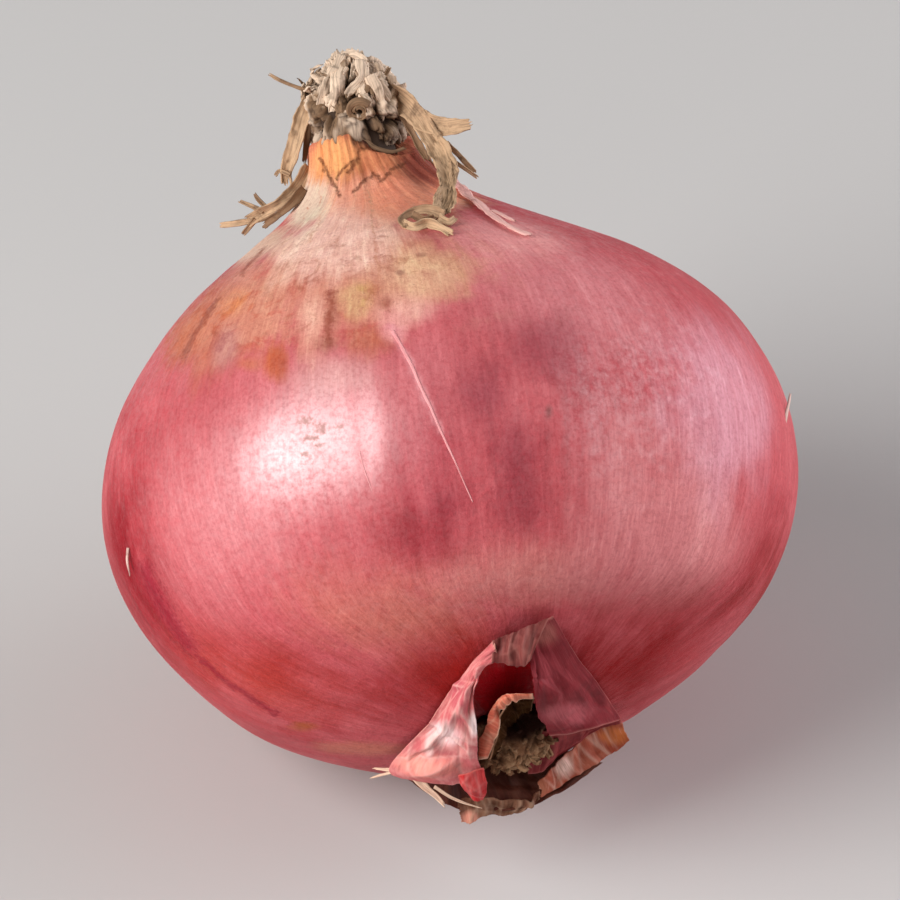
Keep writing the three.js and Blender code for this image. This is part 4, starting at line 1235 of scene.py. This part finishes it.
LOW_RIM = [
    [(6.6, -22.7, 5.2), (7.7, -21.7, 5.6), (8.5, -20.7, 5.8), (10.1, -19.5, 5.8),
     (11.7, -18.5, 5.6), (13.3, -17.9, 5.6)],
    [(6.9, -23.4, 4.6), (8.0, -22.6, 4.8), (9.1, -21.7, 4.9), (10.6, -20.6, 4.9),
     (12.1, -19.6, 4.8), (13.6, -18.8, 4.8)],
    [(6.8, -24.1, 4.4), (8.1, -23.4, 4.4), (9.7, -22.4, 4.4), (11.3, -21.5, 4.5),
     (12.7, -20.6, 4.6), (14.0, -19.6, 4.8)],
]
INSIDE_PANEL = [
    [(6.2, -18.7, 9.5), (7.4, -18.6, 9.8), (8.8, -18.3, 9.4), (10.3, -18.0, 8.6),
     (11.7, -17.8, 7.4), (13.2, -17.9, 6.0)],
    [(6.2, -20.2, 7.4), (7.4, -19.9, 7.4), (8.9, -19.4, 7.2), (10.3, -18.8, 6.8),
     (11.7, -18.3, 6.2), (13.2, -18.1, 5.6)],
    [(6.0, -22.1, 5.4), (7.0, -21.9, 5.6), (8.3, -20.8, 5.6), (10.1, -19.6, 5.6),
     (11.7, -18.6, 5.4), (13.2, -18.1, 5.3)],
]
LOW_LEFT_RIM = [
    [(0.1, -24.1, 6.6), (1.5, -23.8, 6.2), (3.0, -23.8, 5.6), (4.6, -24.0, 5.0),
     (6.0, -23.8, 4.8), (6.9, -23.3, 4.8)],
    [(0.4, -25.0, 6.0), (1.6, -24.7, 5.6), (3.0, -24.6, 5.0), (4.6, -24.7, 4.6),
     (6.0, -24.5, 4.4), (6.9, -23.8, 4.4)],
    [(0.9, -26.0, 5.8), (1.7, -26.1, 5.6), (2.8, -25.4, 5.0), (4.2, -25.5, 4.6),
     (5.7, -25.1, 4.4), (6.9, -24.2, 4.4)],
]
RED_FOLD = [
    [(0.6, -21.9, 10.7), (1.6, -21.6, 11.1), (2.6, -21.4, 10.9)],
    [(0.9, -22.7, 10.1), (1.8, -22.6, 10.5), (2.8, -22.5, 10.0)],
    [(1.3, -23.4, 9.3), (2.0, -23.5, 9.6), (2.8, -23.3, 9.1)],
    [(1.8, -23.9, 8.7), (2.1, -24.1, 8.8), (2.5, -24.0, 8.5)],
]
# The lining behind the root plate, a sheet painted dark as the shade there, in the root's frame: foot on
# the bulb, middle and torn edge.
LINING = [
    [(3.8, 3.5, -21.1), (2.2, 4.7, -21.1), (0.4, 5.2, -21.1),
     (-1.6, 5.0, -21.1), (-3.4, 4.0, -21.1), (-4.8, 2.2, -21.1), (-5.3, 0.2, -21.1)],
    [(5.5, 3.9, -22.6), (3.6, 4.9, -22.9), (1.3, 5.6, -23.1),
     (-1.2, 5.5, -23.2), (-3.8, 4.6, -23.2), (-5.6, 3.2, -22.4), (-7.2, 1.6, -21.6)],
    [(7.3, 3.5, -23.5), (5.2, 4.5, -24.3), (2.4, 5.2, -25.1),
     (-0.8, 5.5, -25.4), (-3.6, 5.0, -25.2), (-6.0, 4.2, -23.8), (-8.6, 3.0, -21.8)],
]
INNER_RIM = [
    [(6.3, -15.5, 18.0), (4.8, -15.5, 18.2), (3.7, -15.7, 17.9), (3.0, -16.7, 16.4), (2.6, -17.9, 14.4),
     (2.1, -19.2, 12.3), (1.9, -20.9, 10.6)],
    [(6.3, -15.7, 17.8), (4.9, -15.7, 18.1), (4.0, -16.1, 17.8), (3.4, -17.0, 16.4), (3.2, -18.2, 14.5),
     (2.8, -19.5, 12.6), (2.5, -20.8, 11.0)],
    [(6.4, -15.9, 17.0), (5.0, -15.9, 17.3), (4.3, -16.4, 17.0), (3.9, -17.3, 15.7), (3.7, -18.5, 14.0),
     (3.3, -19.7, 12.2), (2.9, -20.7, 11.0)],
]
INNER_LIP = [
    INNER_RIM[-1],
    [(6.3, -16.3, 14.5), (5.4, -16.4, 14.5), (4.9, -17.0, 14.0), (4.5, -17.8, 12.5), (4.3, -19.0, 11.0),
     (3.8, -20.2, 10.0), (3.2, -20.9, 9.5)],
    [(6.2, -17.3, 11.5), (5.6, -17.6, 11.5), (5.2, -18.0, 11.0), (4.9, -18.6, 10.0), (4.7, -19.5, 9.5),
     (4.3, -20.5, 9.0), (3.6, -21.1, 8.6)],
]
# Loose shreds at the panels' feet: route and width.
SHREDS = [
    ([(-2.7, -22.2, 7.6), (-1.8, -23.1, 7.6), (-1.0, -23.8, 7.6), (-0.3, -24.6, 7.6)], 0.62),
    ([(-1.2, -23.0, 7.6), (0.0, -23.8, 7.2), (1.2, -24.3, 6.9), (2.5, -24.7, 6.5)], 0.22),
    ([(-3.2, -21.4, 7.8), (-4.6, -21.7, 7.3), (-6.0, -21.6, 7.0)], 0.40),
    ([(-4.0, -21.8, 7.4), (-5.2, -22.1, 7.0), (-6.2, -22.4, 6.8)], 0.25),
]
# Colours of folds, slivers and shreds: light, middle and dark.
FOLD_TINTS = (rgb(0.78, 0.34, 0.345), rgb(0.66, 0.22, 0.23), rgb(0.46, 0.10, 0.11))
SLIVER_TINTS = (rgb(0.70, 0.48, 0.42), rgb(0.52, 0.30, 0.24), rgb(0.20, 0.08, 0.06))
SHRED_TINTS = (rgb(0.82, 0.58, 0.42), rgb(0.60, 0.33, 0.25), rgb(0.30, 0.11, 0.08))
# Folds of the skin's outermost layer, and slivers that come loose from it, right, up and near.
CREASE = [
    (-4.3, 11.8, 23.0), (-3.9, 11.1, 23.5), (-3.3, 10.0, 24.2), (-2.7, 8.8, 24.8), (-2.1, 7.4, 25.4),
    (-1.4, 5.9, 25.9), (-0.7, 4.3, 26.3), (0.1, 2.6, 26.6), (0.9, 0.8, 26.7), (1.7, -1.0, 26.6),
]
CHEEK_LINE = [(-6.8, 2.8, 25.9), (-6.4, 1.4, 26.0), (-5.8, -0.2, 26.0)]
# The point, deep in the bulb, that the folds face away from.
FOLDS_FACE_FROM = np.array([0.0, 0.0, -4.0])
SLIVERS = [
    ([(25.2, 3.6, 8.0), (25.8, 5.2, 6.4), (26.1, 6.4, 5.6), (26.3, 7.4, 5.0)], 0.45),
    ([(-24.7, -4.6, 9.6), (-24.75, -5.6, 9.4), (-24.55, -6.8, 9.2)], 0.22),
]


def skin_lines():
    """Fine folds and loose slivers of the outermost skin."""
    draw = random.Random(17)
    folds = Heap()
    for route, width in (CREASE, 0.26), (CHEEK_LINE, 0.10):
        laid = world_to_front(laid_on_skin(smooth_route(route, LAID_POINTS), 0.0))
        facing = unit(laid[len(laid) // 2] - FOLDS_FACE_FROM)
        add_ribbon(
            folds, laid, width, draw, facing=facing, thickness=0.06, taper=0.25, curl=0.1, twist=0.15,
            ragged=0.0, ripple=0.05, grain=0.01, tone=0.75, steps=110, across=5,
            to_world=front_to_world,
        )
    finish = leaf_finish("skin_fold", *FOLD_TINTS, roughness=0.6)
    folds.piece("skin_folds", finish)
    slivers = Heap()
    for route, width in SLIVERS:
        add_ribbon(
            slivers, route, width, draw, facing=(0.3, 0, 1), thickness=0.08, taper=0.3, curl=0.15,
            tone=0.8, steps=24, across=7, to_world=front_to_world,
        )
    slivers.piece("skin_slivers", leaf_finish("skin_sliver", *SLIVER_TINTS))


def torn_skin():
    """The collar of torn panels round the root end, and its loose shreds."""
    # The side of the torn skin turned to the key light, a lit copy of the skin; its palest spots are
    # painted highlights on its crumples.
    lit_side = torn_finish(
        "torn_skin_lit", rgb(0.58, 0.125, 0.135), rgb(0.68, 0.25, 0.235), rgb(0.42, 0.065, 0.075),
        spots=[
            ((-0.4, -18.9, 14.0), (1.9, 1.5, 5), 0.3, rgb(0.95, 0.70, 0.69), 0.9),
            ((1.8, -18.0, 16.0), (0.5, 1.5, 5), 0.4, rgb(0.98, 0.78, 0.76), 0.95),
            ((0.6, -15.4, 18.0), (1.1, 2.4, 5), 0.2, rgb(0.50, 0.085, 0.11), 0.85),
            ((-1.8, -21.2, 9.0), (3.8, 1.5, 4), 0.3, rgb(1.0, 0.34, 0.27), 0.9),
            ((-1.6, -19.8, 12.0), (0.5, 1.6, 4), 0.3, rgb(0.95, 0.66, 0.62), 0.8),
        ])
    # A shaded copy of the same skin, darker, for the side turned away from the key light: painted shade.
    shaded_side = torn_finish(
        "torn_skin_shaded_side", rgb(0.15, 0.003, 0.008), rgb(0.21, 0.012, 0.019), rgb(0.10, 0.002, 0.005),
        rgb(0.36, 0.065, 0.075), rgb(0.44, 0.14, 0.12), 0.4, [
            ((8.8, -17.2, 12.8), (3.2, 1.3, 6), 0.35, rgb(0.42, 0.085, 0.100), 0.85),
            ((7.2, -13.9, 18.6), (1.5, 1.9, 6), 0.2, rgb(0.33, 0.042, 0.054), 0.75),
            ((7.2, -11.0, 21.0), (1.6, 1.4, 4), 0.2, rgb(0.30, 0.080, 0.065), 0.85),
            ((12.4, -15.8, 9.5), (0.8, 2.4, 6), 0.2, rgb(0.40, 0.055, 0.060), 0.6),
        ])
    # Painted shade for the fold at the top of the collar.
    grey = torn_finish(
        "torn_skin_grey", rgb(0.12, 0.018, 0.017), rgb(0.21, 0.052, 0.045), rgb(0.05, 0.006, 0.006),
        rgb(0.34, 0.13, 0.11), rgb(0.34, 0.12, 0.10))
    # Its first two spots are painted highlights on the lit edge of the low rim.
    tan = torn_finish(
        "torn_skin_tan", rgb(0.32, 0.056, 0.028), rgb(0.42, 0.115, 0.070), rgb(0.14, 0.028, 0.015),
        rgb(0.68, 0.42, 0.33), rgb(0.52, 0.26, 0.18), spots=[
            ((8.8, -21.5, 5.0), (1.0, 1.2, 4), 0.3, rgb(0.78, 0.52, 0.45), 0.9),
            ((12.7, -19.2, 4.8), (1.6, 0.9, 4), 0.3, rgb(0.60, 0.165, 0.045), 0.85),
            ((7.0, -23.2, 5.0), (0.8, 1.0, 4), 0.3, rgb(0.40, 0.13, 0.07), 0.8),
        ])
    dusk = torn_finish(
        "torn_skin_dusk", rgb(0.13, 0.044, 0.022), rgb(0.24, 0.105, 0.060), rgb(0.04, 0.010, 0.006),
        rgb(0.45, 0.28, 0.19), rgb(0.40, 0.22, 0.14), spots=[
            ((1.6, -25.6, 5.8), (0.9, 0.9, 4), 0.4, rgb(0.66, 0.26, 0.18), 0.9),
        ])
    # The inside of the collar: the skin's own dark red, darkened further as painted shade.
    crimson = torn_finish(
        "torn_skin_inside", rgb(0.16, 0.008, 0.012), rgb(0.24, 0.028, 0.030), rgb(0.06, 0.002, 0.004),
        rgb(0.40, 0.10, 0.09), rgb(0.36, 0.09, 0.08), 0.3)
    # Painted shade: the dark lining behind the root plate.
    shade = torn_finish(
        "torn_skin_lining", rgb(0.085, 0.018, 0.011), rgb(0.14, 0.042, 0.025), rgb(0.025, 0.006, 0.004),
        rgb(0.16, 0.07, 0.045), rgb(0.20, 0.09, 0.06), 0.3)
    rim = torn_finish(
        "torn_skin_rim", rgb(0.62, 0.115, 0.065), rgb(0.62, 0.20, 0.12), rgb(0.26, 0.03, 0.015),
        rgb(0.80, 0.42, 0.28), rgb(0.88, 0.58, 0.41))
    # Near black: painted shade where the lip turns into the root's hollow.
    lip = torn_finish(
        "torn_skin_lip", rgb(0.030, 0.010, 0.004), rgb(0.060, 0.025, 0.010), rgb(0.010, 0.003, 0.001),
        rgb(0.14, 0.07, 0.04), rgb(0.34, 0.18, 0.11), 0.3, shine=0.0)
    red = torn_finish(
        "torn_skin_red", rgb(0.43, 0.013, 0.016), rgb(0.60, 0.060, 0.058), rgb(0.18, 0.008, 0.010),
        rgb(0.66, 0.22, 0.20), rgb(0.52, 0.12, 0.10))
    lining = world_to_front(root_to_world(LINING))
    # Name, finish, rows, seed, depth and number of folds, and how each differs from the plain panel.
    panels = [
        ("left", lit_side, LEFT_PANEL, 1, 0.38, 44, dict(
            along=120, across=80, ragged=(0, 0.02, 0.02, 0.05))),
        ("top", grey, TOP_PANEL, 2, 0.2, 12, dict(ragged=(0.1, 0.1, 0, 0))),
        ("right", shaded_side, RIGHT_PANEL, 3, 0.2, 16, dict(
            along=80, across=70, ragged=(0, 0, 0.02, 0.14))),
        ("inside", crimson, INSIDE_PANEL, 9, 0.2, 8, dict(across=64)),
        ("low", tan, LOW_RIM, 4, 0.22, 18, dict(along=40, across=90, ragged=(0.1, 0.1, 0.05, 0.02))),
        ("low_left", dusk, LOW_LEFT_RIM, 5, 0.3, 18, dict(
            along=40, across=80, ragged=(0.15, 0.2, 0.1, 0))),
        ("lining", shade, lining, 10, 0.25, 14, dict(along=50, across=110, ragged=(0, 0.08, 0, 0))),
        ("fold", red, RED_FOLD, 6, 0.16, 7, dict(across=40, along=50, ragged=(0, 0.1, 0.06, 0.05))),
        ("rim", rim, INNER_RIM, 7, 0.22, 14, dict(
            across=96, along=34, ragged=(0.25, 0, 0, 0), trim=4)),
        ("lip", lip, INNER_LIP, 8, 0.26, 12, dict(across=90, along=34, ragged=(0, 0.3, 0, 0))),
    ]
    for name, finish, rows, seed, crumple, folds, options in panels:
        heap = Heap()
        add_panel(heap, rows, seed, crumple, folds, **options)
        heap.piece("torn_skin_" + name, finish, "torn_skin")
    shreds = Heap()
    draw = random.Random(23)
    for route, width in SHREDS:
        add_ribbon(
            shreds, route, width, draw, facing=(0, 0.3, 1), thickness=0.08, taper=0.3, curl=-0.1,
            ragged=0.2, tone=0.9, steps=26, across=7, ripple=0.08, to_world=front_to_world,
        )
    shreds.piece("torn_skin_shreds", leaf_finish("torn_shred", *SHRED_TINTS))


skin_lines()
torn_skin()


# ---- Floor, light and camera ----
# Lengths are in metres, but for the lens and its sensor, which are in millimetres.
AIM = BULB_CENTRE * MM + UP * 2.9 * MM
VIEW_DISTANCE = 0.65
LENS = 334.0
SENSOR = 36.0
CLIP_START = 0.05
FLOOR_HALF = 1.6
FLOOR_DROP = 0.00005
SURROUND_STRENGTH = 0.17
LAMP_DISTANCE = 0.60
# Softboxes: direction right, up and near, size, power and tint.
LAMPS = [
    ("key", (-0.695, 0.238, 0.679), (0.43, 0.42), 3.5, (1.0, 0.98, 0.97)),
    ("key_low", (-0.830, 0.000, 0.560), (0.36, 0.36), 1.55, (1.0, 0.98, 0.97)),
    ("right_fill", (0.930, 0.240, 0.150), (0.80, 0.80), 3.9, (0.98, 0.96, 1.0)),
    ("rim", (0.852, 0.273, -0.400), (0.60, 0.60), 3.0, (0.97, 0.96, 1.0)),
]


def floor():
    """A plain pale floor just under the bulb's resting spot."""
    finish = Finish("floor")
    place = finish.node("NewGeometry", take="Position")
    cloud = finish.noise(place, 3.0, 3.0)
    colour = finish.blend(cloud, rgb(0.52, 0.515, 0.505), rgb(0.55, 0.545, 0.535))
    normal = finish.bump(finish.noise(place, 900.0, 2.0), 0.0001, 0.1)
    mesh = bpy.data.meshes.new("floor")
    corners = [(-1, -1), (1, -1), (1, 1), (-1, 1)]
    mesh.from_pydata(
        [(x * FLOOR_HALF, y * FLOOR_HALF, -FLOOR_DROP) for x, y in corners], [], [(0, 1, 2, 3)])
    mesh.materials.append(finish.shade(colour, 0.6, normal))
    made = placed("floor", mesh)


def softbox(name, toward, size, power, tint):
    """An oval light that looks at the bulb's middle."""
    direction = unit(np.array(toward) @ np.array([RIGHT, UP, NEAR]))
    lamp = bpy.data.lights.new(name, "AREA")
    lamp.shape = "ELLIPSE"
    lamp.size, lamp.size_y = size
    lamp.energy = power
    lamp.color = tint
    made = placed(name, lamp)
    made.location = BULB_CENTRE * MM + direction * LAMP_DISTANCE
    made.rotation_euler = Vector(direction).to_track_quat("Z", "Y").to_euler()
    made.visible_camera = False


def surround():
    """Faint even light from all round."""
    world = bpy.data.worlds.new("studio")
    world.use_nodes = True
    background = world.node_tree.nodes["Background"]
    background.inputs["Color"].default_value = rgb(1.0, 0.98, 0.97)
    background.inputs["Strength"].default_value = SURROUND_STRENGTH
    bpy.context.scene.world = world


def camera():
    """A long lens that looks at the worked side."""
    lens = bpy.data.cameras.new("camera")
    lens.lens = LENS
    lens.sensor_width = SENSOR
    lens.clip_start = CLIP_START
    made = placed("camera", lens)
    made.location = AIM + NEAR * VIEW_DISTANCE
    made.rotation_euler = Matrix(np.array([RIGHT, UP, NEAR]).T.tolist()).to_euler()
    bpy.context.scene.camera = made


floor()
for lamp in LAMPS:
    softbox(*lamp)
surround()
camera()
bpy.context.scene.view_settings.view_transform = "Standard"
